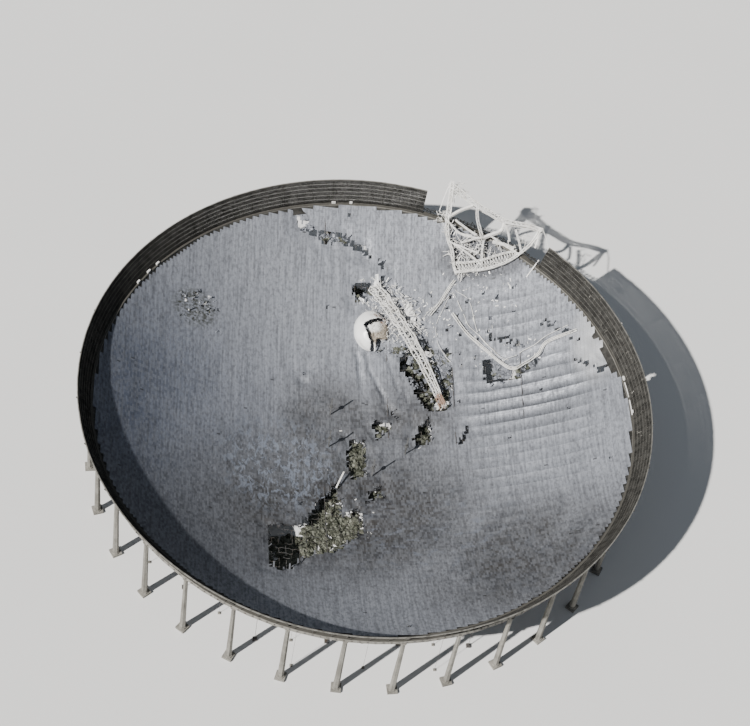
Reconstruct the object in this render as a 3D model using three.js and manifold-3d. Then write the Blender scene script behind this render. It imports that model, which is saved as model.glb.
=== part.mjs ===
// A fixed spherical radio telescope dish, after its suspended instrument platform has fallen into it.
// The reflector is a 305 m wide cap of a 265 m sphere, hung on a cable net inside a ring of concrete piers,
// with a mesh ground screen leaning outwards round the rim. The wreck of the triangular platform lies over
// the rim, and its long arm and broken dome lie across torn holes in the reflector.
//
// Everything below is written in metres of the real telescope. The group is scaled so that the model comes
// out in millimetres at one tenth of the real size. +X is east and +Y is north along the main cables.
// The origin is on the ground under the middle of the dish.

import * as THREE from "three";
import { mergeVertices } from "three/addons/utils/BufferGeometryUtils.js";
import Module from "manifold-3d";

const wasm = await Module();
wasm.setup();

const MODEL_MM_PER_METRE = 100; // 1:10

// Driving dimensions
const SEAT = 0.004; // running gap between pieces that touch, 0.4 mm on the model
const SPHERE_RADIUS = 265;
const APERTURE_RADIUS = 152.5;
const BOWL_CLEARANCE = 5; // ground to the lowest point of the reflecting surface
const SHELL_THICKNESS = 0.5; // panels, purlins and cross cables together
const CABLE_PITCH = 7.8; // between neighbouring main cables
const FIELD_EDGE = 7 * CABLE_PITCH; // reflector fields divide at this distance from the middle

const FACET = THREE.MathUtils.degToRad(5); // the bowl and the rim are drawn with faces this wide
const BOWL_RINGS = 7;

const RIM_SEGMENTS = 8;
const PIERS_PER_SEGMENT = 4;
const RIM_WIDTH = 3;
const RIM_DEPTH = 2.8;
const RIM_UPSTAND = 0.3; // the rim beam stands this far above the reflector's edge

const SCREEN_SEGMENTS = 8;
const SCREEN_RISE = 12.5;
const SCREEN_LEAN = 7.2; // how far the top stands out beyond the foot
const SCREEN_THICKNESS = 0.2;
const SCREEN_FOOT = 1.0; // from the reflector's edge to the foot of the screen
const SCREEN_START = THREE.MathUtils.degToRad(75); // the platform crushed the screen between these two angles
const SCREEN_END = THREE.MathUtils.degToRad(405);
const SCREEN_BAR = 0.6; // the frame that is left between the screen's openings
const SCREEN_ROWS = 2;
const STRUT_WIDTH = 0.5;

const SPHERE_CENTRE_Z = BOWL_CLEARANCE + SPHERE_RADIUS;
const bowlHeight = (r, radius = SPHERE_RADIUS) => SPHERE_CENTRE_Z - Math.sqrt(radius * radius - r * r);
const RIM_Z = bowlHeight(APERTURE_RADIUS);
const RIM_OUTER = APERTURE_RADIUS + RIM_WIDTH;
const PIER_RADIUS = APERTURE_RADIUS + RIM_WIDTH / 2;

// Finishes
const finish = (color, roughness, metalness) =>
  new THREE.MeshStandardMaterial({ color, roughness, metalness });
const PANEL = finish(0xa9abaf, 0.6, 0.5);
const CONCRETE = finish(0x9a958b, 0.9, 0);
const MESH = finish(0x5b5b58, 0.7, 0.6);
const CABLE = finish(0x7d7f80, 0.6, 0.7);
const WHITE_STEEL = finish(0xe4e2dc, 0.55, 0.2);
const WHITE_SHELL = finish(0xf2f1ee, 0.45, 0.1);

const telescope = new THREE.Group();
telescope.scale.setScalar(MODEL_MM_PER_METRE);

// Solids

function solidFrom(geometry) {
  geometry.deleteAttribute("normal");
  geometry.deleteAttribute("uv");
  const merged = mergeVertices(geometry, 1e-5);
  const mesh = new wasm.Mesh({
    numProp: 3,
    vertProperties: merged.attributes.position.array,
    triVerts: new Uint32Array(merged.index.array),
  });
  return new wasm.Manifold(mesh);
}

function geometryFrom(solid) {
  const mesh = solid.getMesh();
  return new THREE.BufferGeometry()
    .setAttribute("position", new THREE.BufferAttribute(mesh.vertProperties, 3))
    .setIndex(new THREE.BufferAttribute(mesh.triVerts, 1));
}

const join = (solids) => solids.reduce((whole, piece) => whole.add(piece));

function place(name, solid, material) {
  const mesh = new THREE.Mesh(geometryFrom(solid), material);
  mesh.name = name;
  telescope.add(mesh);
}

// A closed profile of [radius, height] points turned about the vertical axis.
function turned(profile, segments = (2 * Math.PI) / FACET) {
  const points = profile.map(([r, z]) => new THREE.Vector2(r, z));
  return solidFrom(new THREE.LatheGeometry(points, Math.round(segments)).rotateX(Math.PI / 2));
}

// A vertical prism over an outline of [x, y] points.
function prism(outline, low, high) {
  const shape = new THREE.Shape(outline.map(([x, y]) => new THREE.Vector2(x, y)));
  const geometry = new THREE.ExtrudeGeometry(shape, { depth: high - low, bevelEnabled: false });
  return solidFrom(geometry.translate(0, 0, low));
}

// An upright slab between two values of x, over an outline of [y, z] points.
function slab(outline, x0, x1) {
  const shape = new THREE.Shape(outline.map(([y, z]) => new THREE.Vector2(y, z)));
  const geometry = new THREE.ExtrudeGeometry(shape, { depth: x1 - x0, bevelEnabled: false });
  const [x, y, z] = [new THREE.Vector3(1, 0, 0), new THREE.Vector3(0, 1, 0), new THREE.Vector3(0, 0, 1)];
  return solidFrom(geometry.applyMatrix4(new THREE.Matrix4().makeBasis(y, z, x)).translate(x0, 0, 0));
}

function box(x0, x1, y0, y1, z0, z1) {
  const geometry = new THREE.BoxGeometry(x1 - x0, y1 - y0, z1 - z0);
  return solidFrom(geometry.translate((x0 + x1) / 2, (y0 + y1) / 2, (z0 + z1) / 2));
}

// A straight bar with a square section between two points.
function bar(from, to, width) {
  const along = to.clone().sub(from);
  const geometry = new THREE.BoxGeometry(width, width, along.length());
  const upright = new THREE.Vector3(0, 0, 1);
  const turn = new THREE.Quaternion().setFromUnitVectors(upright, along.clone().normalize());
  const middle = from.clone().add(to).multiplyScalar(0.5);
  return solidFrom(geometry.applyQuaternion(turn).translate(middle.x, middle.y, middle.z));
}

// A line of bars through the given points, with a knuckle at each bend.
function chain(points, width) {
  const bars = points.slice(1).map((end, i) => bar(points[i], end, width));
  const knuckles = points.slice(1, -1).map(({ x, y, z }) =>
    solidFrom(new THREE.OctahedronGeometry(width * 0.85).translate(x, y, z)),
  );
  return join([...bars, ...knuckles]);
}

// A triangle drawn in by the same distance on every side.
function drawnIn(corners, distance) {
  const [a, b, c] = corners;
  const [sideA, sideB, sideC] = [b.distanceTo(c), c.distanceTo(a), a.distanceTo(b)];
  const round = sideA + sideB + sideC;
  const area = Math.abs((b.x - a.x) * (c.y - a.y) - (c.x - a.x) * (b.y - a.y)) / 2;
  const centre = new THREE.Vector2(
    (sideA * a.x + sideB * b.x + sideC * c.x) / round,
    (sideA * a.y + sideB * b.y + sideC * c.y) / round,
  );
  const share = 1 - (distance * round) / (2 * area);
  return corners.map((corner) => centre.clone().lerp(corner, share));
}

// A straight flat truss from one point to another, with a second chord at a depth to its side, a post at each
// end and a zigzag between them.
function truss(from, to, side, { depth, panelLength, member }) {
  const along = to.clone().sub(from);
  const length = along.length();
  const panels = Math.round(length / panelLength);
  along.normalize();
  const across = along.clone().cross(side).normalize();
  const frame = new THREE.Matrix4().makeBasis(along, side, across).setPosition(from);
  const plate = (points, thickness) => {
    const shape = new THREE.Shape(points);
    const geometry = new THREE.ExtrudeGeometry(shape, { depth: thickness, bevelEnabled: false });
    return solidFrom(geometry.translate(0, 0, -thickness / 2).applyMatrix4(frame));
  };
  const half = member / 2;
  const point = (x, y) => new THREE.Vector2(x, y);
  const zigzag = Array.from({ length: 2 * panels + 1 }, (_, i) =>
    point((length * i) / (2 * panels), i % 2 ? depth : 0),
  );
  const gaps = zigzag.slice(2).map((end, i) => [zigzag[i], zigzag[i + 1], end]);
  gaps.push([point(0, 0), point(0, depth), zigzag[1]]);
  gaps.push([point(length, 0), point(length, depth), zigzag[2 * panels - 1]]);
  const outline = [
    point(-half, -half),
    point(length + half, -half),
    point(length + half, depth + half),
    point(-half, depth + half),
  ];
  return plate(outline, member).subtract(join(gaps.map((gap) => plate(drawnIn(gap, half), 2 * member))));
}

// The part of the plan between two angles, as a tall prism.
function wedge(start, end) {
  const reach = 400;
  const steps = 4;
  const outline = [[0, 0]];
  for (let i = 0; i <= steps; i++) {
    const angle = start + ((end - start) * i) / steps;
    outline.push([reach * Math.cos(angle), reach * Math.sin(angle)]);
  }
  return prism(outline, -10, 100);
}

// What lies below the reflecting surface and the rim's top, used to seat pieces on them.
const bowlRadii = Array.from({ length: BOWL_RINGS + 1 }, (_, i) => (APERTURE_RADIUS * i) / BOWL_RINGS);
const topLine = bowlRadii.map((r) => [r, bowlHeight(r)]);
const underLine = bowlRadii.map((r) => [r, bowlHeight(r, SPHERE_RADIUS + SHELL_THICKNESS)]);
const belowBowl = turned([
  [0, -10],
  [APERTURE_RADIUS, -10],
  ...topLine.map(([r, z]) => [r, z + SEAT]).reverse(),
]);
const insideRim = turned([[0, -10], [APERTURE_RADIUS, -10], [APERTURE_RADIUS, 100], [0, 100]]);
const rimBody = turned([
  [APERTURE_RADIUS - 0.1, -10],
  [RIM_OUTER + SEAT, -10],
  [RIM_OUTER + SEAT, RIM_Z + RIM_UPSTAND + SEAT],
  [APERTURE_RADIUS - 0.1, RIM_Z + RIM_UPSTAND + SEAT],
  [APERTURE_RADIUS - 0.1, -10],
]);
const support = belowBowl.add(rimBody);

// A piece cut to rest on its supports, without the slivers that the cuts leave beside it.
function seated(solid, ...others) {
  const cut = others.reduce((rest, other) => rest.subtract(other), solid.subtract(support));
  const bodies = cut.decompose().sort((a, b) => b.volume() - a.volume());
  return bodies[0];
}

// Where a point of the plan lies on the reflecting surface, or a height above it.
const onBowl = (x, y, above = 0) => new THREE.Vector3(x, y, bowlHeight(Math.hypot(x, y)) + above);

// Reflector

// Outlines of the holes that the falling pieces tore, as [x, y] on plan.
const TEARS = {
  north_gash: [
    [-38.5, 148.5], [-36, 144], [-28, 140], [-10, 138], [-1, 134], [6, 132], [9, 125.5], [4, 127],
    [-7, 132], [-19, 131.5], [-28, 135.5], [-37, 138.5],
  ],
  beside_dome: [[-1.5, 107], [0, 98], [8, 101], [14, 106], [8, 112], [-1, 110]],
  under_arm: [
    [12, 70], [26, 67.5], [29, 54], [34.5, 44], [43, 28.5], [54, 29], [57.5, 38], [58.5, 58], [56, 70.5],
    [50, 68], [42, 77], [30, 72.5],
  ],
  east_gash: [
    [75.5, 62], [83, 60], [91, 53], [99, 54], [108, 54.5], [106, 51], [95, 44.5], [80, 44], [77, 47],
  ],
  south_west_hole: [
    [-52.5, -61.5], [-35, -57.5], [-24, -40], [-13.5, -23.5], [-9.5, -20.5], [-11, -32], [-9, -47], [-2, -41],
    [2.5, -47], [1.5, -60], [-12, -75], [-32, -83], [-39, -95], [-53, -97],
  ],
  middle_gash: [[-4, 9], [6, 9], [6, -17], [-2.5, -20], [-6, -9]],
  north_middle_gash: [[10, 24], [22, 19.5], [17, 14], [12, 10]],
  arm_foot_gash: [[44, 26], [46, 15], [43.5, 6], [35, 6], [34, 11], [40, 22]],
  south_middle_gash: [[14.5, -22], [14, -32.5], [4.5, -36.5], [6.5, -28.5]],
};

function buildReflector() {
  const shell = turned([...underLine, ...topLine.slice().reverse()]);
  const tears = join(Object.values(TEARS).map((outline) => prism(outline, -10, 100)));
  const torn = shell.subtract(tears);
  const rows = { south: [-200, -FIELD_EDGE], middle: [-FIELD_EDGE, FIELD_EDGE], north: [FIELD_EDGE, 200] };
  const columns = { west: [-200, -FIELD_EDGE], centre: [-FIELD_EDGE, FIELD_EDGE], east: [FIELD_EDGE, 200] };
  for (const [row, [y0, y1]] of Object.entries(rows)) {
    for (const [column, [x0, x1]] of Object.entries(columns)) {
      const cell = box(x0 + SEAT / 2, x1 - SEAT / 2, y0 + SEAT / 2, y1 - SEAT / 2, -10, 100);
      place(`reflector_${row}_${column}`, torn.intersect(cell), PANEL);
    }
  }
}

// Rim beam with its piers, footings and screen struts

const screenInner = (up) => [
  APERTURE_RADIUS + SCREEN_FOOT + SCREEN_LEAN * up,
  RIM_Z + RIM_UPSTAND + SEAT + SCREEN_RISE * up,
];

const polar = (radius, angle, z) => new THREE.Vector3(radius * Math.cos(angle), radius * Math.sin(angle), z);

function pier(angle) {
  const top = RIM_Z + RIM_UPSTAND - RIM_DEPTH + 0.5;
  const shaft = new THREE.CylinderGeometry(1.2, 1.8, top, 6).rotateX(Math.PI / 2);
  const footing = new THREE.BoxGeometry(5.5, 5.5, 1.5);
  const column = solidFrom(shaft.translate(PIER_RADIUS, 0, top / 2).rotateZ(angle));
  return column.add(solidFrom(footing.translate(PIER_RADIUS, 0, 0.75).rotateZ(angle)));
}

function strut(angle) {
  const behind = SCREEN_THICKNESS + STRUT_WIDTH * Math.SQRT1_2 + SEAT; // half the strut's diagonal
  const [footRadius, footZ] = screenInner(0);
  const [topRadius, topZ] = screenInner(1);
  const out = behind * 1.16; // the screen leans, so the strut stands further out on plan than it is behind
  return bar(polar(footRadius + out, angle, footZ - 0.6), polar(topRadius + out, angle, topZ), STRUT_WIDTH);
}

function rimSector(start, end) {
  const steps = Math.round((end - start) / FACET);
  const trim = SEAT / RIM_OUTER;
  const shape = new THREE.Shape();
  const arc = (radius, from, to) =>
    Array.from({ length: steps + 1 }, (_, i) => from + ((to - from) * i) / steps).map((angle) =>
      new THREE.Vector2(radius * Math.cos(angle), radius * Math.sin(angle)),
    );
  shape.setFromPoints([
    ...arc(RIM_OUTER, start + trim, end - trim),
    ...arc(APERTURE_RADIUS + SEAT, end - trim, start + trim),
  ]);
  const geometry = new THREE.ExtrudeGeometry(shape, { depth: RIM_DEPTH, bevelEnabled: false });
  return solidFrom(geometry.translate(0, 0, RIM_Z + RIM_UPSTAND - RIM_DEPTH));
}

function buildRim() {
  const span = (2 * Math.PI) / RIM_SEGMENTS;
  for (let s = 0; s < RIM_SEGMENTS; s++) {
    const start = s * span;
    const pieces = [rimSector(start, start + span)];
    for (let i = 0; i < PIERS_PER_SEGMENT; i++) {
      const angle = start + (span * (i + 0.5)) / PIERS_PER_SEGMENT;
      pieces.push(pier(angle));
      const crushed = angle < SCREEN_START && angle > SCREEN_END - 2 * Math.PI;
      if (!crushed) pieces.push(strut(angle));
    }
    place(`rim_beam_${s + 1}`, join(pieces), CONCRETE);
  }
}

// Ground screen

// One opening through the screen, between two angles and two heights.
function screenWindow(start, end, low, high) {
  const [inner, outer] = [APERTURE_RADIUS, APERTURE_RADIUS + 2 * SCREEN_LEAN];
  const trim = SCREEN_BAR / 2 / APERTURE_RADIUS;
  const corner = (radius, angle) => [radius * Math.cos(angle), radius * Math.sin(angle)];
  const [from, to] = [start + trim, end - trim];
  return prism([corner(inner, from), corner(outer, from), corner(outer, to), corner(inner, to)], low, high);
}

// The openings of one segment, one in each row of each flat face that is wide enough.
function screenWindows(start, end) {
  const between = [];
  for (let k = Math.ceil(start / FACET); k * FACET < end; k++) between.push(k * FACET);
  const clear = (angle) => angle > start + FACET / 2 && angle < end - FACET / 2;
  const edges = [start, ...between.filter(clear), end];
  const [, footZ] = screenInner(0);
  const rowHeight = (SCREEN_RISE - SCREEN_BAR) / SCREEN_ROWS;
  const windows = [];
  for (let row = 0; row < SCREEN_ROWS; row++) {
    const low = footZ + SCREEN_BAR + row * rowHeight;
    const high = low + rowHeight - SCREEN_BAR;
    edges.slice(1).forEach((edge, i) => windows.push(screenWindow(edges[i], edge, low, high)));
  }
  return join(windows);
}

function buildScreen() {
  const [footRadius, footZ] = screenInner(0);
  const [topRadius, topZ] = screenInner(1);
  const sheet = turned([
    [footRadius, footZ],
    [footRadius + SCREEN_THICKNESS, footZ],
    [topRadius + SCREEN_THICKNESS, topZ],
    [topRadius, topZ],
    [footRadius, footZ],
  ]);
  const span = (SCREEN_END - SCREEN_START) / SCREEN_SEGMENTS;
  const trim = SEAT / APERTURE_RADIUS;
  for (let s = 0; s < SCREEN_SEGMENTS; s++) {
    const start = SCREEN_START + s * span;
    const segment = sheet.intersect(wedge(start + trim, start + span - trim));
    place(`ground_screen_${s + 1}`, segment.subtract(screenWindows(start, start + span)), MESH);
  }
}

// Main cables under the reflector, with the tie-downs that hold them to blocks on the ground

const CABLE_LINES = [-97.5, -58.5, -19.5, 19.5, 58.5, 97.5];
const CABLE_WIDTH = 0.3;
const CABLE_DROP = 0.3; // clear of the straight faces above it
const CABLE_STEP = 2 * CABLE_PITCH; // the cable is drawn straight between points this far apart
const TIE_EVERY = 2; // a tie-down at every second point
const TIE_WIDTH = 0.2;
const BLOCK_SIZE = 2.4;
const BLOCK_HEIGHT = 1;
const CABLE_SPLICE = 7.8; // each cable is in two lengths that meet here, clear of its tie-downs

function mainCable(x) {
  const reach = Math.sqrt(APERTURE_RADIUS ** 2 - x * x) + 1;
  const radius = SPHERE_RADIUS + SHELL_THICKNESS + CABLE_DROP;
  const height = (y) => bowlHeight(Math.hypot(x, y), radius);
  const steps = Math.floor((reach - 4) / CABLE_STEP);
  const inner = Array.from({ length: 2 * steps + 1 }, (_, i) => (i - steps) * CABLE_STEP);
  const line = [-reach, ...inner, reach].map((y) => [y, height(y)]);
  const underside = line.map(([y, z]) => [y, z - CABLE_WIDTH]).reverse();
  const pieces = [slab([...line, ...underside], x - CABLE_WIDTH / 2, x + CABLE_WIDTH / 2)];
  for (const y of inner.filter((_, i) => (i - steps) % TIE_EVERY === 0)) {
    const [half, side] = [BLOCK_SIZE / 2, TIE_WIDTH / 2];
    pieces.push(box(x - side, x + side, y - side, y + side, BLOCK_HEIGHT / 2, height(y) - CABLE_WIDTH / 2));
    pieces.push(box(x - half, x + half, y - half, y + half, 0, BLOCK_HEIGHT));
  }
  return join(pieces).intersect(insideRim); // the ends stop at the rim beam's inner face
}

function buildCables() {
  CABLE_LINES.forEach((x, i) => {
    const cable = mainCable(x);
    const south = box(x - 5, x + 5, -200, CABLE_SPLICE - SEAT / 2, -10, 100);
    const north = box(x - 5, x + 5, CABLE_SPLICE + SEAT / 2, 200, -10, 100);
    place(`main_cable_${i + 1}_south`, cable.intersect(south), CABLE);
    place(`main_cable_${i + 1}_north`, cable.intersect(north), CABLE);
  });
}

// Platform wreck: a triangle of buckled trusses with sides of about 60 m, lying on the slope and over the rim

const PLATFORM_TOP = new THREE.Vector3(55.6, 158, 71.7);
const PLATFORM_EAST = new THREE.Vector3(111, 128, 66.5);
const PLATFORM_LOW = new THREE.Vector3(59.8, 110.4, 42);
const PLATFORM_BAR = 1;
const PLATFORM_DEPTH = 4.5;
const PLATFORM_PANEL = 8; // about the length of one panel of its trusses

const platformAxes = (() => {
  const along = PLATFORM_EAST.clone().sub(PLATFORM_LOW).normalize();
  const out = along.clone().cross(PLATFORM_TOP.clone().sub(PLATFORM_LOW)).normalize();
  return { along, up: out.clone().cross(along), out };
})();
// A place on the platform: along its low side, up towards its top corner, and below its upper face.
function onPlatform(u, v, below = 0) {
  const { along, up, out } = platformAxes;
  return PLATFORM_LOW.clone().addScaledVector(along, u).addScaledVector(up, v).addScaledVector(out, -below);
}
// Each side bends at the inner points of its line, as [u, v] pairs from corner to corner.
const LOW_CORNER = [0, 0];
const EAST_CORNER = [59.4, 0];
const TOP_CORNER = [22.7, 51.5];
const WEST_SIDE = [LOW_CORNER, [4.4, 18], [10.8, 35], TOP_CORNER];
const SOUTH_SIDE = [LOW_CORNER, [18, -6.3], [41.5, -7], EAST_CORNER];
const NORTH_SIDE = [EAST_CORNER, [41.5, 16.5], [31.2, 34], TOP_CORNER];

// One side of the platform, in straight stretches. All widths grow by twice the given margin.
function platformSide(line, margin = 0) {
  const size = { depth: PLATFORM_DEPTH, panelLength: PLATFORM_PANEL, member: PLATFORM_BAR + 2 * margin };
  const down = platformAxes.out.clone().negate();
  const points = line.map(([u, v]) => onPlatform(u, v));
  return join(points.slice(1).map((to, i) => truss(points[i], to, down, size)));
}

// Members across the middle of the platform, as lines of [u, v] pairs.
const INNER_MEMBERS = [
  [[9.6, 33], [29.3, 33.2]],
  [[29.3, 33.2], [26, 23.7]],
  [[26, 23.7], [23.5, 12.2]],
  [[23.5, 12.2], [34, 10.4]],
  [[34, 10.4], [41.5, 15.8]],
  [[41, 15.4], [41.2, -6.6]],
  [[29, 11.3], [39, -6.4]],
  [[23.5, 12.2], [15.7, -5]],
  [[23.5, 12.2], [4.8, 17]],
  [[23.5, 12.2], [9.4, 31.5]],
];
const INNER_BAR = 0.9;

// What is left of the circular track below the platform, just inside its south side.
const TRACK_LINE = [[2.4, 6], [12, 1.4], [20.9, -0.8], [33.8, -3.1], [38.5, -4.8]];
const TRACK_BAR = 1;

// The foot of the ground screen that the platform pressed down onto the rim.
const CRUSHED_PROFILE = [
  [153.2, 0], [155.4, 0], [157.5, 1.2], [157.2, 2.4], [155, 2.8], [153.6, 1.9], [153.2, 0],
];

function buildPlatform() {
  const west = (margin) => platformSide(WEST_SIDE, margin);
  const south = (margin) => platformSide(SOUTH_SIDE, margin);
  const north = (margin) => platformSide(NORTH_SIDE, margin);
  const sides = join([west(SEAT), south(SEAT), north(SEAT)]);
  place("platform_side_west", seated(west(0)), WHITE_STEEL);
  place("platform_side_south", seated(south(0), west(SEAT)), WHITE_STEEL);
  place("platform_side_north", seated(north(0), west(SEAT), south(SEAT)), WHITE_STEEL);

  const inner = (margin) =>
    join(INNER_MEMBERS.map(([a, b]) => bar(onPlatform(...a), onPlatform(...b), INNER_BAR + 2 * margin)));
  place("platform_inner_frame", seated(inner(0), sides), WHITE_STEEL);

  const trackDrop = (INNER_BAR + TRACK_BAR) / 2; // it hangs against the undersides of the inner members
  const track = (margin) =>
    chain(TRACK_LINE.map(([u, v]) => onPlatform(u, v, trackDrop)), TRACK_BAR + 2 * margin);
  place("platform_track_beam", seated(track(0), sides, inner(SEAT)), WHITE_STEEL);

  const heap = turned(CRUSHED_PROFILE.map(([r, up]) => [r, RIM_Z + RIM_UPSTAND + SEAT + up]));
  const crushed = heap.intersect(wedge(SCREEN_END - 2 * Math.PI + 0.01, SCREEN_START - 0.01));
  place("crushed_screen", seated(crushed, sides, inner(2 * SEAT), track(2 * SEAT)), MESH);
}

// The long bow-shaped arm, a box truss that fell upside down across the reflector

const ARM_NORTH = [11.5, 107.5];
const ARM_SOUTH = [51.8, 29];
const ARM_WIDTH = 4.6;
const ARM_DEPTH = 3.6;
const ARM_BOW = 2;
const ARM_SIDE_BOW = 2.6; // its middle bends this far to the east
const ARM_BAR = 0.8;
const ARM_WEB = 0.5;
const ARM_STRETCHES = 4; // the arm bends between straight stretches
const ARM_CROSSINGS = 24; // times that the zigzag goes from one chord to the other
const ARM_BRACES = 12;
const ARM_LEAN = 0.2; // share of the width by which the sides close in at the top
const ARM_LIFT = 0.3; // the lower chords start this far above the reflector at the arm's two ends

const armAxes = (() => {
  const north = onBowl(...ARM_NORTH, ARM_LIFT);
  const along = onBowl(...ARM_SOUTH, ARM_LIFT).sub(north);
  const length = along.length();
  along.normalize();
  const across = along.clone().cross(new THREE.Vector3(0, 0, 1)).normalize();
  return { north, length, along, across, up: across.clone().cross(along) };
})();
// How far the arm bends at a share of its length, from 0 at its ends to 1 in its middle.
function armBend(share) {
  const stretch = Math.min(Math.floor(share * ARM_STRETCHES), ARM_STRETCHES - 1);
  const [from, to] = [stretch, stretch + 1].map((k) => Math.sin((Math.PI * k) / ARM_STRETCHES));
  return from + (to - from) * (share * ARM_STRETCHES - stretch);
}

// A place on the arm: at a share of its length, west or east of its middle, and up from its foot.
function onArm(share, side, rise) {
  const { north, length, along, across, up } = armAxes;
  return north
    .clone()
    .addScaledVector(along, length * share)
    .addScaledVector(across, side - ARM_SIDE_BOW * armBend(share))
    .addScaledVector(up, rise + ARM_BOW * armBend(share));
}

// One long side, leaning in towards its top. All widths grow by twice the given margin.
function armSide(across, margin = 0) {
  const ends = Array.from({ length: ARM_STRETCHES + 1 }, (_, i) => i / ARM_STRETCHES);
  const low = (share) => onArm(share, across, 0);
  const high = (share) => onArm(share, across * (1 - ARM_LEAN), ARM_DEPTH);
  const zigzag = Array.from({ length: ARM_CROSSINGS + 1 }, (_, i) => (i % 2 ? high : low)(i / ARM_CROSSINGS));
  const web = zigzag.slice(1).map((end, i) => bar(zigzag[i], end, ARM_WEB + 2 * margin));
  const posts = [0, 1].map((share) => bar(low(share), high(share), ARM_WEB + 2 * margin));
  const chords = [low, high].map((chord) => chain(ends.map(chord), ARM_BAR + 2 * margin));
  return join([...chords, ...web, ...posts]);
}

// Zigzag bracing between the upper chords of the two sides.
function armBracing() {
  const reach = (ARM_WIDTH / 2) * (1 - ARM_LEAN) - (ARM_BAR + ARM_WEB) / 2 - SEAT;
  const points = Array.from({ length: ARM_BRACES + 1 }, (_, i) =>
    onArm(i / ARM_BRACES, i % 2 ? reach : -reach, ARM_DEPTH),
  );
  return chain(points, ARM_WEB);
}

function buildArm() {
  const half = ARM_WIDTH / 2;
  const sides = armSide(half, SEAT).add(armSide(-half, SEAT));
  place("arm_side_west", seated(armSide(half)), WHITE_STEEL);
  place("arm_side_east", seated(armSide(-half)), WHITE_STEEL);
  place("arm_bracing", seated(armBracing(), sides), WHITE_STEEL);
}

// The broken dome. Its west and north sides stand, and its south-east side has sunk, open to the south.

const DOME_AT = [9.9, 81];
const DOME_RADIUS = 12.5;
const DOME_SKIN = 0.6;
const DOME_SPREAD = [0.84, 1.04]; // its two half widths, as shares of the radius
const DOME_RISE = 0.8;
const DOME_SUNK_RISE = 0.42;
const DOME_TURN = 6;
const DOME_TILT = 18; // it stands square on the slope of the reflector
const SUNK_SIDE = [
  [4.2, 79.8], [5.5, 76], [8.6, 70.5], [11.6, 60], [50, 60], [50, 92], [24, 88], [16, 85.5], [9, 82.2],
];
const OPEN_SIDE = [[12, 60], [50, 60], [50, 78], [22, 77], [17, 74.5], [13, 74]];

function buildDome() {
  const turn = (radius) => new THREE.SphereGeometry(radius, 20, 12).rotateX(Math.PI / 2);
  const centre = onBowl(...DOME_AT, 0.5);
  const shell = solidFrom(turn(DOME_RADIUS)).subtract(solidFrom(turn(DOME_RADIUS - DOME_SKIN)));
  const foot = box(-20, 20, -20, 20, -20, -1);
  const standing = (rise) => {
    const upright = shell.scale([...DOME_SPREAD, rise]).subtract(foot).rotate([0, 0, DOME_TURN]);
    return upright.rotate([DOME_TILT, 0, 0]).translate([centre.x, centre.y, centre.z]);
  };
  const sunkSide = prism(SUNK_SIDE, -10, 100);
  const tall = standing(DOME_RISE).subtract(sunkSide);
  const sunk = standing(DOME_SUNK_RISE).intersect(sunkSide).subtract(prism(OPEN_SIDE, -10, 100));
  place("dome_shell", seated(tall.add(sunk)), WHITE_SHELL);
}

// Two stretches of the fallen catwalk

const CATWALK_LINE = [[58.5, 90], [78.5, 64], [91.5, 50.5], [107.5, 56], [113, 62.5], [129, 65]];
const TAIL_LINE = [[60, 109.5], [55, 102], [45.5, 90.5]];
const CATWALK_WIDTH = 1.2;

function lyingLine(line, width) {
  const stations = [];
  line.slice(1).forEach(([x1, y1], i) => {
    const [x0, y0] = line[i];
    const parts = Math.max(1, Math.round(Math.hypot(x1 - x0, y1 - y0) / 12));
    for (let k = 0; k < parts; k++) {
      stations.push(onBowl(x0 + ((x1 - x0) * k) / parts, y0 + ((y1 - y0) * k) / parts, width / 2));
    }
  });
  stations.push(onBowl(...line[line.length - 1], width / 2));
  return seated(chain(stations, width));
}

function buildFallenCatwalk() {
  place("fallen_catwalk", lyingLine(CATWALK_LINE, CATWALK_WIDTH), WHITE_STEEL);
  place("fallen_catwalk_tail", lyingLine(TAIL_LINE, CATWALK_WIDTH), WHITE_STEEL);
}

// Thin target masts standing on the reflector

const MAST_FEET = [[-15, 25.5], [-16.3, 2.7], [8.5, -16.6], [28.4, -1]];
const MAST_HEIGHT = 16;
const MAST_WIDTH = 0.4;
const MAST_TARGET = 1.1;

function buildMasts() {
  MAST_FEET.forEach(([x, y], i) => {
    const pole = bar(onBowl(x, y, -0.3), onBowl(x, y, MAST_HEIGHT), MAST_WIDTH);
    const target = onBowl(x, y, MAST_HEIGHT / 2);
    const head = solidFrom(new THREE.OctahedronGeometry(MAST_TARGET).translate(target.x, target.y, target.z));
    place(`target_mast_${i + 1}`, seated(pole.add(head)), WHITE_STEEL);
  });
}

buildReflector();
buildRim();
buildScreen();
buildCables();
buildPlatform();
buildArm();
buildDome();
buildFallenCatwalk();
buildMasts();

export default telescope;
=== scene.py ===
"""Looks of a fixed spherical radio telescope dish that its own instrument platform has fallen into.

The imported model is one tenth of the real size. Lengths here are written in metres of the real dish, in the
same frame, and are scaled when a mesh is made. +X is east, +Y is north and the ground is at z = 0.
"""

import random
from math import cos, hypot, pi, radians, sin, sqrt

import bpy
import numpy as np
from mathutils import Matrix, Quaternion, Vector, noise


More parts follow.
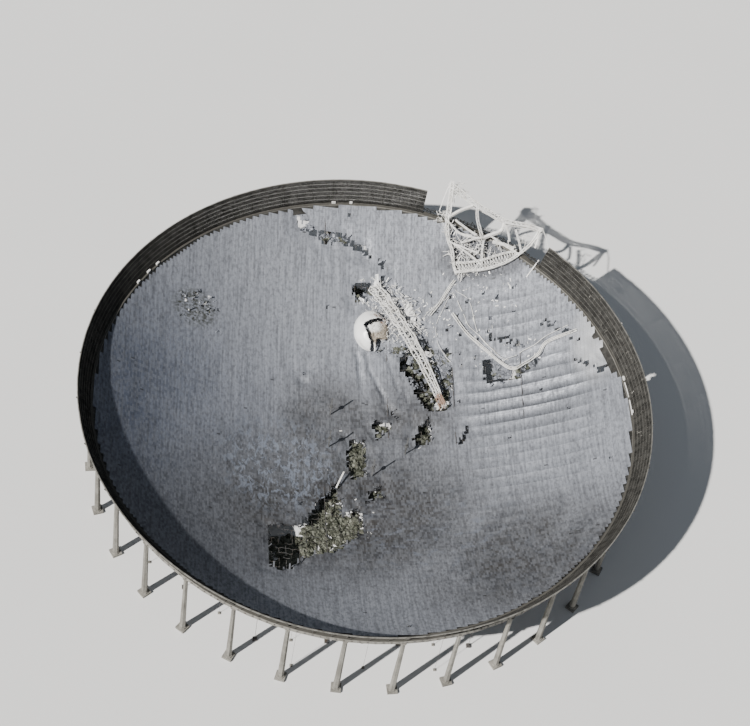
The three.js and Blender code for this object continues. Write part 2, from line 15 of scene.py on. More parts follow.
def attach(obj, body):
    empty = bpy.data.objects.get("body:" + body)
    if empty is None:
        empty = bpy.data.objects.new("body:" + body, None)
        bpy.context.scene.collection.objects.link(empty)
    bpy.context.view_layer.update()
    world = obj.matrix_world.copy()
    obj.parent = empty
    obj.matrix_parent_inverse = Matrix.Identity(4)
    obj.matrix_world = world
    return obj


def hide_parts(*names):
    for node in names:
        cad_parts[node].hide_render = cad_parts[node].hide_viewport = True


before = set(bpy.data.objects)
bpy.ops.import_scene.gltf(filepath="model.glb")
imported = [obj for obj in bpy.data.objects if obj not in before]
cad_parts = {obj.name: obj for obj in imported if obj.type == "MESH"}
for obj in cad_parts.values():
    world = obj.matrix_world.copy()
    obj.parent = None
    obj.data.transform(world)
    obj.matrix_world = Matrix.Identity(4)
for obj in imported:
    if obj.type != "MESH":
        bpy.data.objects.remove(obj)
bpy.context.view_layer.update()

SCALE = 0.1

# Driving dimensions of the dish
SPHERE_RADIUS = 265.0
APERTURE_RADIUS = 152.5
BOWL_CLEARANCE = 5.0
CABLE_PITCH = 7.8
FIELD_EDGE = 7 * CABLE_PITCH
CELL = CABLE_PITCH / 8  # one cell of the panel grid
PANEL = 2  # cells along each side of one panel
PANEL_RADIUS = 151.6  # panels whose middle lies further out are left off, which leaves a stepped edge
PANEL_THICKNESS = 0.12
RIM_WIDTH = 3.0
RIM_UPSTAND = 0.3
SCREEN_RISE = 12.5
SCREEN_LEAN = 7.2
SCREEN_FOOT = 1.0
SCREEN_START = 75.0  # degrees; the platform crushed the screen between these two angles
SCREEN_END = 405.0
SCREEN_SEGMENTS = 8

SPHERE_CENTRE_Z = BOWL_CLEARANCE + SPHERE_RADIUS


def bowl_height(r):
    return SPHERE_CENTRE_Z - sqrt(SPHERE_RADIUS**2 - r * r)


RIM_TOP = bowl_height(APERTURE_RADIUS) + RIM_UPSTAND

# Outlines of the holes that the falling pieces tore, as (x, y) on plan
TEARS = {
    "north_gash": [
        (-38.5, 148.5), (-36, 144), (-28, 140), (-10, 138), (-1, 134), (6, 132), (9, 125.5), (4, 127),
        (-7, 132), (-19, 131.5), (-28, 135.5), (-37, 138.5),
    ],
    "north_gash_tail": [(11.7, 124.7), (16.5, 123), (20.1, 118.7), (18.1, 118), (14.2, 121.2)],
    "beside_dome": [(-1.5, 107), (0, 98), (8, 101), (14, 106), (8, 112), (-1, 110)],
    "under_arm": [
        (12, 70), (26, 67.5), (29, 54), (34.5, 44), (43, 28.5), (54, 29), (57.5, 38), (58.5, 58), (56, 70.5),
        (50, 68), (42, 77), (30, 72.5),
    ],
    "east_gash": [
        (75.5, 62), (83, 60), (91, 53), (99, 54), (108, 54.5), (106, 51), (95, 44.5), (80, 44), (77, 47),
    ],
    "south_west_hole": [
        (-52.5, -61.5), (-35, -57.5), (-24, -40), (-13.5, -23.5), (-9.5, -20.5), (-11, -32), (-9, -47),
        (-2, -41), (2.5, -47), (1.5, -60), (-12, -75), (-32, -83), (-39, -95), (-53, -97),
    ],
    "middle_gash": [(-4, 9), (6, 9), (6, -17), (-2.5, -20), (-6, -9)],
    "north_middle_gash": [(10, 24), (22, 19.5), (17, 14), (12, 10)],
    "arm_foot_gash": [(44, 26), (46, 15), (43.5, 6), (35, 6), (34, 11), (40, 22)],
    "south_middle_gash": [(14.5, -22), (14, -32.5), (4.5, -36.5), (6.5, -28.5)],
    "east_slit": [(64.7, 19.1), (66, 14), (62.2, 3), (58.7, 2.8), (62, 12)],
    "north_slot": [(13.8, 116.3), (16.6, 116.1), (16.6, 107.5), (13.9, 107.6)],
    "arm_north_gash": [(16.6, 110.6), (19.8, 109), (24.2, 99), (21.0, 97.8), (17.2, 103.0)],
    "arm_east_gash": [(27.4, 91.4), (30.4, 93), (37.1, 77.9), (34.2, 76.8)],
    "fold_slit": [(21.2, 31.5), (23.2, 31), (25.6, 24.6), (23.4, 24.0)],
    "west_spot": [(-31.9, 52.4), (-29.2, 52.8), (-28.9, 49.9), (-31.6, 49.6)],
    "rim_row_1": [(126.5, 48.5), (129, 45.5), (133.2, 41.5), (134.5, 42.5), (130, 47.5)],
    "rim_row_2": [(136, 41.2), (140, 35), (142.5, 35.5), (143.5, 39), (140.5, 38.5)],
    "rim_notch": [(141, 57), (145.5, 57), (150, 44), (152, 36), (146, 36.5), (143.5, 44), (142, 50)],
}

# Meshes

SHORTEST_BAR = 1e-6
UPRIGHT = Vector((0, 0, 1))


def polar(radius, degrees, z):
    angle = radians(degrees)
    return Vector((radius * cos(angle), radius * sin(angle), z))


def heading(degrees):
    return Quaternion(UPRIGHT, radians(degrees))


class Builder:
    """Collects corners and faces in real metres and turns them into one piece that rides with the dish."""

    def __init__(self):
        self.corners = []
        self.faces = []

    def add(self, corners, faces):
        first = len(self.corners)
        self.corners.extend(corners)
        self.faces.extend(tuple(first + i for i in face) for face in faces)

    def bar(self, start, end, width, sides=4, end_width=None):
        """A straight bar, square by default, that may taper."""
        along = end - start
        if along.length < SHORTEST_BAR:
            return
        to_bar = along.to_track_quat("Z", "Y")
        rings = []
        for centre, size in ((start, width), (end, end_width or width)):
            reach = size / 2 / cos(pi / sides)
            for i in range(sides):
                angle = pi * (2 * i + 1) / sides
                corner = Vector((reach * cos(angle), reach * sin(angle), 0))
                rings.append(centre + to_bar @ corner)
        walls = [(i, (i + 1) % sides, sides + (i + 1) % sides, sides + i) for i in range(sides)]
        ends = [tuple(reversed(range(sides))), tuple(range(sides, 2 * sides))]
        self.add(rings, walls + ends)

    def line(self, points, width):
        for start, end in zip(points, points[1:]):
            self.bar(start, end, width)

    def box(self, centre, size, turn=None):
        half = Vector(size) / 2
        turn = turn or Quaternion()
        corners = [
            centre + turn @ Vector((half.x * x, half.y * y, half.z * z))
            for x in (-1, 1) for y in (-1, 1) for z in (-1, 1)
        ]
        faces = [(0, 1, 3, 2), (4, 6, 7, 5), (0, 4, 5, 1), (2, 3, 7, 6), (0, 2, 6, 4), (1, 5, 7, 3)]
        self.add(corners, faces)

    def shell(self, cells, present, place, around=0):
        """Two skins over some cells of a grid, with walls where no neighbour is present.

        Around is the number of columns of a grid that closes on itself.
        """
        index = {}

        def column(i):
            return i % around if around else i

        def corner(i, j, layer):
            key = (column(i), j, layer)
            if key not in index:
                index[key] = len(self.corners)
                self.corners.append(place(*key))
            return index[key]

        for i, j in cells:
            ring = [(i, j), (i + 1, j), (i + 1, j + 1), (i, j + 1)]
            self.faces.append(tuple(corner(*at, 0) for at in ring))
            self.faces.append(tuple(corner(*at, 1) for at in reversed(ring)))
            neighbours = [(i, j - 1), (column(i + 1), j), (i, j + 1), (column(i - 1), j)]
            for k, neighbour in enumerate(neighbours):
                if neighbour not in present:
                    a, c = ring[k], ring[(k + 1) % 4]
                    self.faces.append((corner(*a, 1), corner(*c, 1), corner(*c, 0), corner(*a, 0)))

    def sheet(self, rows, thickness):
        """A bent sheet through rows of points, with a second skin at its thickness behind it."""
        lift = sheet_normal(rows) * thickness
        cells = [(i, j) for j in range(len(rows) - 1) for i in range(len(rows[0]) - 1)]
        self.shell(cells, cells, lambda i, j, layer: rows[j][i] - lift * layer)

    def piece(self, name, look, replaces=(), smooth=False):
        material, slot = look
        mesh = bpy.data.meshes.new(name)
        mesh.from_pydata([tuple(corner * SCALE) for corner in self.corners], [], self.faces)
        mesh.materials.append(material)
        if smooth:
            mesh.shade_smooth()
        mesh.update()
        obj = bpy.data.objects.new(name, mesh)
        bpy.context.scene.collection.objects.link(obj)
        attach(obj, "root")
        if replaces:
            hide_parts(*replaces)


def sheet_normal(rows):
    across = rows[0][-1] - rows[0][0]
    down = rows[-1][0] - rows[0][0]
    return across.cross(down).normalized()


def jitter(rng, size):
    return Vector([rng.uniform(-size, size) for _ in range(3)])


APART = [Vector((9.3, -1.5, -8.0)), Vector((0.0, 0.0, 0.0)), Vector((-6.3, 11.2, -3.2))]


def noise_vector(place):
    """A smoothly changing offset, each part of it between about -1 and 1."""
    return Vector([noise.noise(place + shift) for shift in APART])


def swing(x, y, seed):
    """A smoothly changing number between about -1 and 1."""
    return noise.noise(Vector((x, y, seed)))


# Materials


class Shader:
    """Lays colours over each other in one material. Coordinates are in metres of the real dish."""

    def __init__(self, name, metallic, roughness, colour):
        self.material = bpy.data.materials.new(name)
        self.material.use_nodes = True
        self.tree = self.material.node_tree
        self.surface = self.tree.nodes["Principled BSDF"]
        self.surface.inputs["Metallic"].default_value = metallic
        self.surface.inputs["Roughness"].default_value = roughness
        self.colour = colour
        source = self.tree.nodes.new("ShaderNodeTexCoord").outputs["Object"]
        self.place = self.vector("SCALE", source, Scale=1 / SCALE)

    def node(self, kind, inputs, **settings):
        made = self.tree.nodes.new(kind)
        for key, value in settings.items():
            setattr(made, key, value)
        for key, value in inputs.items():
            socket = made.inputs[key]
            if isinstance(value, bpy.types.NodeSocket):
                self.tree.links.new(value, socket)
            else:
                socket.default_value = value
        return made

    def vector(self, operation, a, b=None, **named):
        inputs = {0: a, **named}
        if b is not None:
            inputs[1] = b
        made = self.node("ShaderNodeVectorMath", inputs, operation=operation)
        return made.outputs["Value" if operation == "LENGTH" else "Vector"]

    def value(self, operation, a, b=0.0):
        return self.node("ShaderNodeMath", {0: a, 1: b}, operation=operation).outputs[0]

    def along(self, axis):
        """How far a place lies along x, y or z, for axis 0, 1 or 2."""
        return self.node("ShaderNodeSeparateXYZ", {0: self.place}).outputs[axis]

    def noise(self, stretch, detail, rough, distortion=0.0):
        """Noise whose features are about as many metres long as the stretch says, along x, y and z."""
        inputs = {
            "Vector": self.vector("DIVIDE", self.place, stretch), "Scale": 1.0, "Detail": detail,
            "Roughness": rough, "Distortion": distortion,
        }
        return self.node("ShaderNodeTexNoise", inputs).outputs["Fac"]

    def spread(self, value, low, high, to_low=0.0, to_high=1.0):
        inputs = {"Value": value, "From Min": low, "From Max": high, "To Min": to_low, "To Max": to_high}
        return self.node("ShaderNodeMapRange", inputs, interpolation_type="SMOOTHSTEP").outputs["Result"]

    def spots(self, low, high, most, *shape):
        """0 where the noise of this shape is low, and the most where it is high."""
        return self.spread(self.noise(*shape), low, high, 0.0, most)

    def region(self, centre, reach, soft):
        """1 in the middle of an ellipse on plan, falling to 0 at its edge."""
        flat = self.vector("MULTIPLY", self.place, (1, 1, 0))
        away = self.vector("SUBTRACT", flat, (*centre, 0))
        size = self.vector("LENGTH", self.vector("DIVIDE", away, (*reach, 1)))
        return self.spread(size, 1 - soft, 1.0, 1.0, 0.0)

    def repeat(self, axis, pitch, width):
        """1 on thin lines at a regular pitch along an axis, else 0."""
        phase = self.value("FRACT", self.value("DIVIDE", self.along(axis), pitch))
        edge = self.value("ABSOLUTE", self.value("SUBTRACT", phase, 0.5))
        return self.value("GREATER_THAN", edge, 0.5 - width / pitch / 2)

    def cell_noise(self, size):
        """One random number for each cell of a grid."""
        inputs = {"Vector": self.vector("SNAP", self.place, size)}
        return self.node("ShaderNodeTexWhiteNoise", inputs, noise_dimensions="3D").outputs["Value"]

    def mix(self, factor, a, b):
        made = self.tree.nodes.new("ShaderNodeMix")
        made.data_type = "RGBA"
        for index, value in ((0, factor), (6, a), (7, b)):
            if isinstance(value, bpy.types.NodeSocket):
                self.tree.links.new(value, made.inputs[index])
            else:
                made.inputs[index].default_value = (*value, 1.0)
        return made.outputs[2]

    def lay(self, colour, *masks):
        """Covers what is there with a colour, as far as the product of the masks says."""
        share = masks[0]
        for mask in masks[1:]:
            share = self.value("MULTIPLY", share, mask)
        self.colour = self.mix(share, self.colour, colour)

    def finish(self, roughness=None, height=None, bump=0.3, distance=0.02):
        self.tree.links.new(self.colour, self.surface.inputs["Base Color"])
        if roughness is not None:
            self.tree.links.new(roughness, self.surface.inputs["Roughness"])
        if height is not None:
            made = self.node("ShaderNodeBump", {"Height": height, "Strength": bump, "Distance": distance})
            self.tree.links.new(made.outputs["Normal"], self.surface.inputs["Normal"])
        return self.material


# Colours of the reflector's panels, of the dirt on them, and of the painted shade and painted highlight on
# them
PALE_PANEL = (0.295, 0.31, 0.345)
WEST_SHADE_PANEL = (0.07, 0.086, 0.13)
LIT_PANEL = (0.45, 0.455, 0.46)
NEW_PANEL = (0.34, 0.36, 0.40)
SOIL = (0.038, 0.035, 0.032)
# Dirt, and also painted shade where it is laid over broad regions
DIRT_AND_SHADE = (0.045, 0.047, 0.054)
SOOT = (0.018, 0.018, 0.018)
GAP_SHADE = (0.035, 0.037, 0.028)
NEAR_BLOTS = (0.185, 0.21, 0.26)
FAR_BLOTS = (0.15, 0.165, 0.20)

# Where soil lies on the panels: the middle, reach, softness and strength of each ellipse on plan
SOILED = [
    ((-12, -44), (118, 84), 0.75, 1.0), ((92, -92), (96, 74), 0.85, 1.0), ((30, 22), (44, 40), 0.8, 0.8),
    ((-14, 14), (42, 48), 0.6, 0.75),
]


def shade_west(s, weave):
    """Painted shade: the west of the bowl is made cool and dark, and the south-west darker still. Streaks of
    dirt run down the slope everywhere.
    """
    broad = s.noise((70, 70, 70), 4, 0.6, 0.5)
    # Painted shade: a cool dark panel colour laid over the west of the bowl.
    s.lay(WEST_SHADE_PANEL, s.region((-150, -10), (150, 170), 0.9), s.spread(broad, 0.3, 0.7, 0.56, 1.0))
    s.lay(DIRT_AND_SHADE, s.spots(0.38, 0.68, 0.45, (1.2, 26, 26), 3, 0.6))
    s.lay(DIRT_AND_SHADE, s.spread(weave, 0.40, 0.68, 0.0, 0.5))
    # Painted shade: the south-west of the bowl darkened further.
    s.lay(DIRT_AND_SHADE, s.region((-125, -95), (125, 100), 0.9), 0.62)


def band_east(s):
    """Painted shade in the slack bays of the east, darkest at the south end of each bay, and a painted
    highlight on the edge beyond them.
    """
    bay = s.value("FRACT", s.value("DIVIDE", s.along(1), CABLE_PITCH))
    less_slack = s.value("MULTIPLY", s.region((98, 84), (54, 30), 0.7), 0.45)
    slack = s.value("MAXIMUM", s.region((102, 27), (54, 34), 0.8), less_slack)
    # Painted shade across each slack bay.
    s.lay(DIRT_AND_SHADE, slack, s.spread(bay, 0.0, 0.8, 0.62, 0.0))
    # Painted highlight on the smooth edge by the rim.
    s.lay(LIT_PANEL, s.region((139, 56), (17, 34), 0.7), 0.7)


def soil_and_shade_middle(s):
    soiled = 0.0
    for centre, reach, soft, strength in SOILED:
        field = s.value("MULTIPLY", s.region(centre, reach, soft), strength)
        soiled = s.value("MAXIMUM", soiled, field)
    s.lay(SOIL, soiled, s.spread(s.noise((34, 30, 30), 6, 0.62, 0.8), 0.30, 0.60, 0.55, 0.98))
    s.lay(DIRT_AND_SHADE, soiled, s.spots(0.47, 0.64, 0.8, (9, 13, 13), 7, 0.7, 1.0))
    s.lay(DIRT_AND_SHADE, soiled, s.spots(0.46, 0.66, 0.6, (30, 1.8, 30), 4, 0.65))
    near_blots = s.spots(0.50, 0.57, 1.0, (3.4, 6, 6), 6, 0.72, 0.6)
    s.lay(NEAR_BLOTS, s.region((-45, -16), (48, 44), 0.6), near_blots, 0.92)
    far_blots = s.spots(0.52, 0.66, 1.0, (8, 5, 5), 6, 0.7, 0.5)
    s.lay(FAR_BLOTS, s.region((34, -62), (80, 50), 0.7), far_blots, 0.7)
    # Painted shade on the panels under the platform wreck.
    s.lay(DIRT_AND_SHADE, s.region((80, 122), (38, 19), 0.4), 0.88)
    s.lay(SOOT, soiled, s.spots(0.56, 0.68, 0.8, (1.7, 3.4, 3.4), 5, 0.75))


def shade_gaps_west(s):
    """Painted shade: small dark spots, as of gaps, about the places where single panels are missing in the
    west.
    """
    s.lay(GAP_SHADE, s.region((-97, 78), (17, 14), 0.5), s.spots(0.46, 0.54, 1.0, (2.6, 1.5, 2.6), 4, 0.7), 0.92)


def part_panels(s):
    """Panels that differ a little, a few dark ones, and the dark seams that part them."""
    long, short = CELL * PANEL, CELL * PANEL / 2
    s.lay(NEW_PANEL, s.spread(s.cell_noise((short, long, 90)), 0.0, 1.0, 0.0, 0.21))
    s.lay(SOOT, s.value("GREATER_THAN", s.cell_noise((long, short, 90)), 0.9993), 0.7)
    seams = s.value("MAXIMUM", s.repeat(0, long, 0.10), s.repeat(1, short, 0.06))
    s.lay(SOOT, seams, 0.35)
    return seams


def panel_material():
    s = Shader("panel_aluminium", 0.25, 0.6, PALE_PANEL)
    weave = s.noise((1.5, 2.6, 2.6), 3, 0.6)
    shade_west(s, weave)
    band_east(s)
    soil_and_shade_middle(s)
    shade_gaps_west(s)
    seams = part_panels(s)
    return s.finish(s.spread(weave, 0.3, 0.7, 0.5, 0.72), seams, 0.4, -0.004)


def underside_material():
    s = Shader("purlin_steel", 0.5, 0.6, (0.17, 0.175, 0.18))
    patch = s.noise((9, 9, 9), 6, 0.65)
    rust = s.noise((1.4, 1.4, 2.2), 5, 0.7)
    s.lay((0.10, 0.095, 0.09), s.spread(patch, 0.4, 0.65))
    s.lay((0.20, 0.11, 0.06), s.spread(rust, 0.6, 0.72, 0.0, 0.6))
    return s.finish(s.spread(rust, 0.3, 0.8, 0.45, 0.8), patch, 0.2)


def fallen_panel_material():
    # Weathered fallen panels, made darker still as painted shade for the ground under the dish.
    s = Shader("fallen_panel", 0.2, 0.7, (0.135, 0.14, 0.11))
    patch = s.noise((3, 3, 3), 6, 0.7, 0.5)
    rust = s.noise((1.2, 1.2, 1.2), 5, 0.7)
    s.lay((0.022, 0.025, 0.014), s.spread(patch, 0.38, 0.64))
    s.lay((0.08, 0.055, 0.032), s.spread(rust, 0.56, 0.7, 0.0, 0.7))
    return s.finish(s.spread(rust, 0.3, 0.8, 0.55, 0.85), patch, 0.2)


def concrete_material():
    s = Shader("cast_concrete", 0.0, 0.88, (0.24, 0.23, 0.205))
    cloud = s.noise((7, 7, 9), 7, 0.65, 0.4)
    lift = s.repeat(2, 3.0, 0.12)
    s.lay((0.155, 0.148, 0.13), s.spread(cloud, 0.36, 0.66))
    s.lay((0.075, 0.072, 0.062), s.spots(0.52, 0.72, 0.65, (0.8, 0.8, 13), 4, 0.6))
    s.lay((0.09, 0.085, 0.075), lift, 0.45)
    # Painted shade: the top of the rim beam is made near black.
    world_place = s.node("ShaderNodeNewGeometry", {}).outputs["Position"]
    level = s.node("ShaderNodeSeparateXYZ", {0: world_place}).outputs[2]
    s.lay((0.05, 0.047, 0.04), s.spread(level, (RIM_TOP - 0.6) * SCALE, (RIM_TOP - 0.1) * SCALE, 0.0, 0.92))
    height = s.value("SUBTRACT", s.noise((0.35, 0.35, 0.35), 8, 0.7), lift)
    return s.finish(s.spread(cloud, 0.3, 0.7, 0.8, 0.95), height, 0.35, 0.01)


def galvanised_material():
    s = Shader("galvanised_mesh", 0.55, 0.6, (0.066, 0.064, 0.058))
    patch = s.noise((5, 5, 5), 5, 0.6)
    rust = s.noise((1.1, 1.1, 1.8), 6, 0.72)
    s.lay((0.028, 0.027, 0.024), s.spread(patch, 0.38, 0.64))
    s.lay((0.07, 0.045, 0.028), s.spread(rust, 0.58, 0.72, 0.0, 0.55))
    return s.finish(s.spread(rust, 0.3, 0.8, 0.45, 0.8), patch, 0.15)


def rail_material():
    s = Shader("pale_rail", 0.45, 0.5, (0.27, 0.26, 0.235))
    patch = s.noise((3, 3, 3), 5, 0.6)
    s.lay((0.13, 0.125, 0.11), s.spread(patch, 0.4, 0.66))
    return s.finish(s.spread(patch, 0.3, 0.7, 0.4, 0.65), patch, 0.15)


def cable_material():
    s = Shader("cable_steel", 0.7, 0.5, (0.21, 0.21, 0.21))
    patch = s.noise((2, 2, 2), 6, 0.7)
    s.lay((0.12, 0.09, 0.065), s.spread(patch, 0.4, 0.66))
    twist = {"Vector": s.place, "Scale": 3.0, "Distortion": 1.0}
    strands = s.node("ShaderNodeTexWave", twist, bands_direction="DIAGONAL").outputs["Fac"]
    return s.finish(s.spread(patch, 0.3, 0.8, 0.4, 0.75), strands, 0.3, 0.003)


def grey_steel_material():
    s = Shader("grey_painted_steel", 0.2, 0.6, (0.17, 0.172, 0.175))
    dirt = s.noise((2, 2, 3), 6, 0.65)
    s.lay((0.08, 0.078, 0.073), s.spread(dirt, 0.4, 0.68))
    return s.finish(s.spread(dirt, 0.3, 0.7, 0.5, 0.75), dirt, 0.15)


def white_steel_material():
    s = Shader("white_painted_steel", 0.1, 0.5, (0.84, 0.83, 0.80))
    dirt = s.noise((3, 3, 4), 7, 0.68)
    rust = s.noise((0.9, 0.9, 1.5), 6, 0.75, 0.5)
    arm_foot = s.region((49.5, 32.5), (6, 5.5), 0.5)
    s.lay((0.56, 0.54, 0.49), s.spread(dirt, 0.46, 0.72))
    s.lay((0.30, 0.16, 0.08), s.spread(rust, 0.63, 0.72, 0.0, 0.8))
    s.lay((0.27, 0.135, 0.07), arm_foot, 0.85)
    return s.finish(s.spread(rust, 0.4, 0.8, 0.4, 0.85), dirt, 0.2)


def dome_material():
    s = Shader("dome_skin", 0.05, 0.38, (0.86, 0.86, 0.85))
    cloud = s.noise((8, 8, 8), 5, 0.6)
    s.lay((0.68, 0.67, 0.65), s.spread(cloud, 0.46, 0.72))
    s.lay((0.45, 0.40, 0.34), s.spots(0.6, 0.78, 0.4, (0.8, 0.8, 7), 5, 0.65))
    grain = s.spots(0.4, 0.62, 1.0, (1.1, 1.1, 1.1), 6, 0.75)
    grime = s.mix(grain, (0.42, 0.37, 0.30), (0.13, 0.105, 0.08))
    below_tear = s.spread(s.along(2), 22.0, 23.4, 1.0, 0.0)
    s.lay(grime, s.region((15, 79), (11, 10), 0.3), below_tear)
    burn = s.spots(0.42, 0.56, 1.0, (1.5, 1.5, 1.5), 5, 0.7)
    s.lay((0.20, 0.10, 0.055), s.region((15.5, 86.0), (8, 3.0), 0.7), burn)
    return s.finish(s.spread(cloud, 0.3, 0.7, 0.3, 0.5), cloud, 0.1)


def floor_material():
    s = Shader("studio_floor", 0.0, 0.9, (0.70, 0.70, 0.69))
    s.lay((0.74, 0.74, 0.73), s.noise((150, 150, 150), 2, 0.5))
    return s.finish()


# Each look is a material and its slot
PANELS = panel_material(), "reflector_panel"
PURLINS = underside_material(), "reflector_panel"
FALLEN_PANELS = fallen_panel_material(), "reflector_panel"
CONCRETE = concrete_material(), "concrete"
GALVANISED = galvanised_material(), "screen_mesh"
PALE_RAIL = rail_material(), "screen_mesh"
CABLES = cable_material(), "cable_steel"
WHITE_STEEL = white_steel_material(), "white_steel"
GREY_STEEL = grey_steel_material(), "white_steel"
DOME_SKIN = dome_material(), "dome_skin"

# Surface of the torn reflector

SEGMENTS = np.array([
    [*start, *end]
    for outline in TEARS.values() for start, end in zip(outline, outline[1:] + outline[:1])
])


def tear_distance(x, y):
    """How far a point of the plan lies from the nearest torn edge."""
    start, end = SEGMENTS[:, :2], SEGMENTS[:, 2:]
    along = end - start
    to_point = np.array([x, y]) - start
    share = np.clip((to_point * along).sum(1) / (along * along).sum(1), 0, 1)
    return float(np.hypot(*(to_point - along * share[:, None]).T).min())


def inside(outline, x, y):
    hit = False
    for (x0, y0), (x1, y1) in zip(outline, outline[1:] + outline[:1]):
        if (y0 > y) != (y1 > y) and x < (x1 - x0) * (y - y0) / (y1 - y0) + x0:
            hit = not hit
    return hit


FRAY = 1.6


def torn_away(x, y):
    """True where the panels are gone. The outlines are frayed by about half a cell."""
    shift = noise_vector(Vector((x * 0.21, y * 0.21, 3.0))) * FRAY
    return any(inside(outline, x + shift.x, y + shift.y) for outline in TEARS.values())


def fade(value, low, high):
    """0 up to the low end, 1 from the high end, and smooth between them."""
    share = min(1.0, max(0.0, (value - low) / (high - low)))
    return share * share * (3 - 2 * share)


RIPPLE_DEPTH = 0.6
GASH_RIPPLE_DEPTH = 1.5  # more of it beside the east gash
LEAST_RIPPLE = 0.15
EAST_GASH = (96, 37)
EAST_GASH_STRETCH = 1.7


def ripple(x, y):
    """East of the wreck the sheet hangs slack between its cross cables, most of all beside the gash."""
    near_gash = 1 - fade(hypot((x - EAST_GASH[0]) / EAST_GASH_STRETCH, y - EAST_GASH[1]), 10, 32)
    weight = fade(x, 54, 78) * (1 - fade(hypot(x, y), 126, 146)) * fade(y, -100, -20)
    wander = 0.16 * swing(x * 0.035, y * 0.035, 8.0)
    bay, phase = divmod(y / CABLE_PITCH + wander, 1.0)
    uneven = max(LEAST_RIPPLE, 0.75 + 0.9 * swing(x * 0.022, bay * 0.7, 12.0))
    return -(RIPPLE_DEPTH + GASH_RIPPLE_DEPTH * near_gash) * uneven * weight * 4 * phase * (1 - phase)


# Lines of folds on plan, each with its depth.
FOLDS = [
    ([(0.5, 70), (2.7, 61.9), (4.1, 48.1), (4.3, 40)], 1.3),
    ([(7.5, 66.5), (11.1, 53), (18.5, 36)], 1.1),
    ([(20.2, 64.8), (25.9, 47.1), (29.1, 30.1)], 1.0),
    ([(30, 40), (33, 28), (34, 20)], 0.9),
]


def distance_to_line(line, x, y):
    nearest = 1e9
    for (x0, y0), (x1, y1) in zip(line, line[1:]):
        dx, dy = x1 - x0, y1 - y0
        share = min(1.0, max(0.0, ((x - x0) * dx + (y - y0) * dy) / (dx * dx + dy * dy)))
        nearest = min(nearest, hypot(x - x0 - share * dx, y - y0 - share * dy))
    return nearest


FOLD_REACH = 2.9


def creases(x, y):
    """Folds that run south from the dome and the arm."""
    if not (-12 < x < 44 and 10 < y < 78):
        return 0.0
    wander = noise_vector(Vector((x * 0.12, y * 0.12, 14.0))) * 1.5
    strength = 0.7 + swing(x * 0.09, y * 0.09, 15.0)
    x, y = x + wander.x, y + wander.y
    fold = sum(depth * (1 - fade(distance_to_line(line, x, y), 0.0, FOLD_REACH)) for line, depth in FOLDS)
    return -strength * fold


DROOP = 1.7
DROOP_REACH = 9


def relief(x, y):
    """How far the sheet lies above the sphere that it was cut from."""
    droop = -DROOP * (1 - fade(tear_distance(x, y), 0, DROOP_REACH)) * (0.55 + swing(x * 0.11, y * 0.11, 1.0))
    swell = 0.35 * swing(x * 0.03, y * 0.03, 5.0)
    quilt = 0.10 * swing(x * 0.28, y * 0.14, 6.0)
    return ripple(x, y) + creases(x, y) + droop + swell + quilt - 0.1


OUTERMOST = 153.0  # the bowl is level beyond this radius, behind the rim beam's inner face
CORNERS = {}


def surface(i, j):
    """The corner of the panel grid with these two indices."""
    if (i, j) not in CORNERS:
        x, y = i * CELL, j * CELL
        height = bowl_height(min(hypot(x, y), OUTERMOST))
        CORNERS[i, j] = Vector((x, y, height + relief(x, y)))
    return CORNERS[i, j]


def bowl_point(x, y, above):
    return Vector((x, y, bowl_height(hypot(x, y)) + above))


GRID_REACH = 156  # the grid reaches a little past the rim
HALF_PANELS = round(GRID_REACH / CELL / PANEL)
HALF_CELLS = HALF_PANELS * PANEL
EDGE_CELL = round(FIELD_EDGE / CELL)
LOOSE = random.Random(11)
# Shares of the panels that are missing: anywhere, about the wreck, at the spots and in the rows
LOST, LOST_AT_WRECK, LOST_AT_SPOTS, LOST_IN_ROWS = 0.0004, 0.02, 0.1, 0.6
SPOTS = [
    (-97.6, 76.9), (-87.5, 81.3), (-91.5, 74.0), (-103.9, 69.3), (-100.9, 83.6), (-92.5, 85.2), (-99, 74),
]
SPOT_ROWS = [
    [(79.5, 74.5), (84.1, 72.4), (89.2, 70.2), (93.6, 67.4), (97.5, 64.7)],
    [(111.9, 75.5), (117.3, 70.9), (122.6, 66.2), (129.4, 58.9)],
]


def panel_present(i, j):
    """Whether a panel is there: some are missing about the wreck, at the spots and along two rows."""
    x, y = (i + 0.5) * CELL * PANEL, (j + 0.5) * CELL * PANEL
    if hypot(x, y) > PANEL_RADIUS or torn_away(x, y):
        return False
    scattered = 1 - fade(hypot((x - 66) / 1.1, y - 92), 12, 44)
    spotty = 1 - fade(min(hypot(x - a, y - b) for a, b in SPOTS), 1.5, 6.5)
    rowed = 1 - fade(min(distance_to_line(row, x, y) for row in SPOT_ROWS), 0.6, 3.4)
    return LOOSE.random() > LOST_AT_WRECK * scattered + LOST_AT_SPOTS * spotty + LOST_IN_ROWS * rowed + LOST


PRESENT = {
    (PANEL * i + di, PANEL * j + dj)
    for i in range(-HALF_PANELS, HALF_PANELS) for j in range(-HALF_PANELS, HALF_PANELS)
    if panel_present(i, j)
    for di in range(PANEL) for dj in range(PANEL)
}
# The cells of the three rows of fields, and of the three columns
LOW_CELLS = (-HALF_CELLS, -EDGE_CELL)
MIDDLE_CELLS = (-EDGE_CELL, EDGE_CELL)
HIGH_CELLS = (EDGE_CELL, HALF_CELLS)
ROWS = {"south": LOW_CELLS, "middle": MIDDLE_CELLS, "north": HIGH_CELLS}
COLUMNS = {"west": LOW_CELLS, "centre": MIDDLE_CELLS, "east": HIGH_CELLS}


def reflector_field(row, column):
    b = Builder()
    cells = [(i, j) for i in range(*COLUMNS[column]) for j in range(*ROWS[row]) if (i, j) in PRESENT]
    b.shell(cells, PRESENT, lambda i, j, layer: surface(i, j) - UPRIGHT * (PANEL_THICKNESS * layer))
    b.piece(f"panels_{row}_{column}", PANELS, [f"reflector_{row}_{column}"])


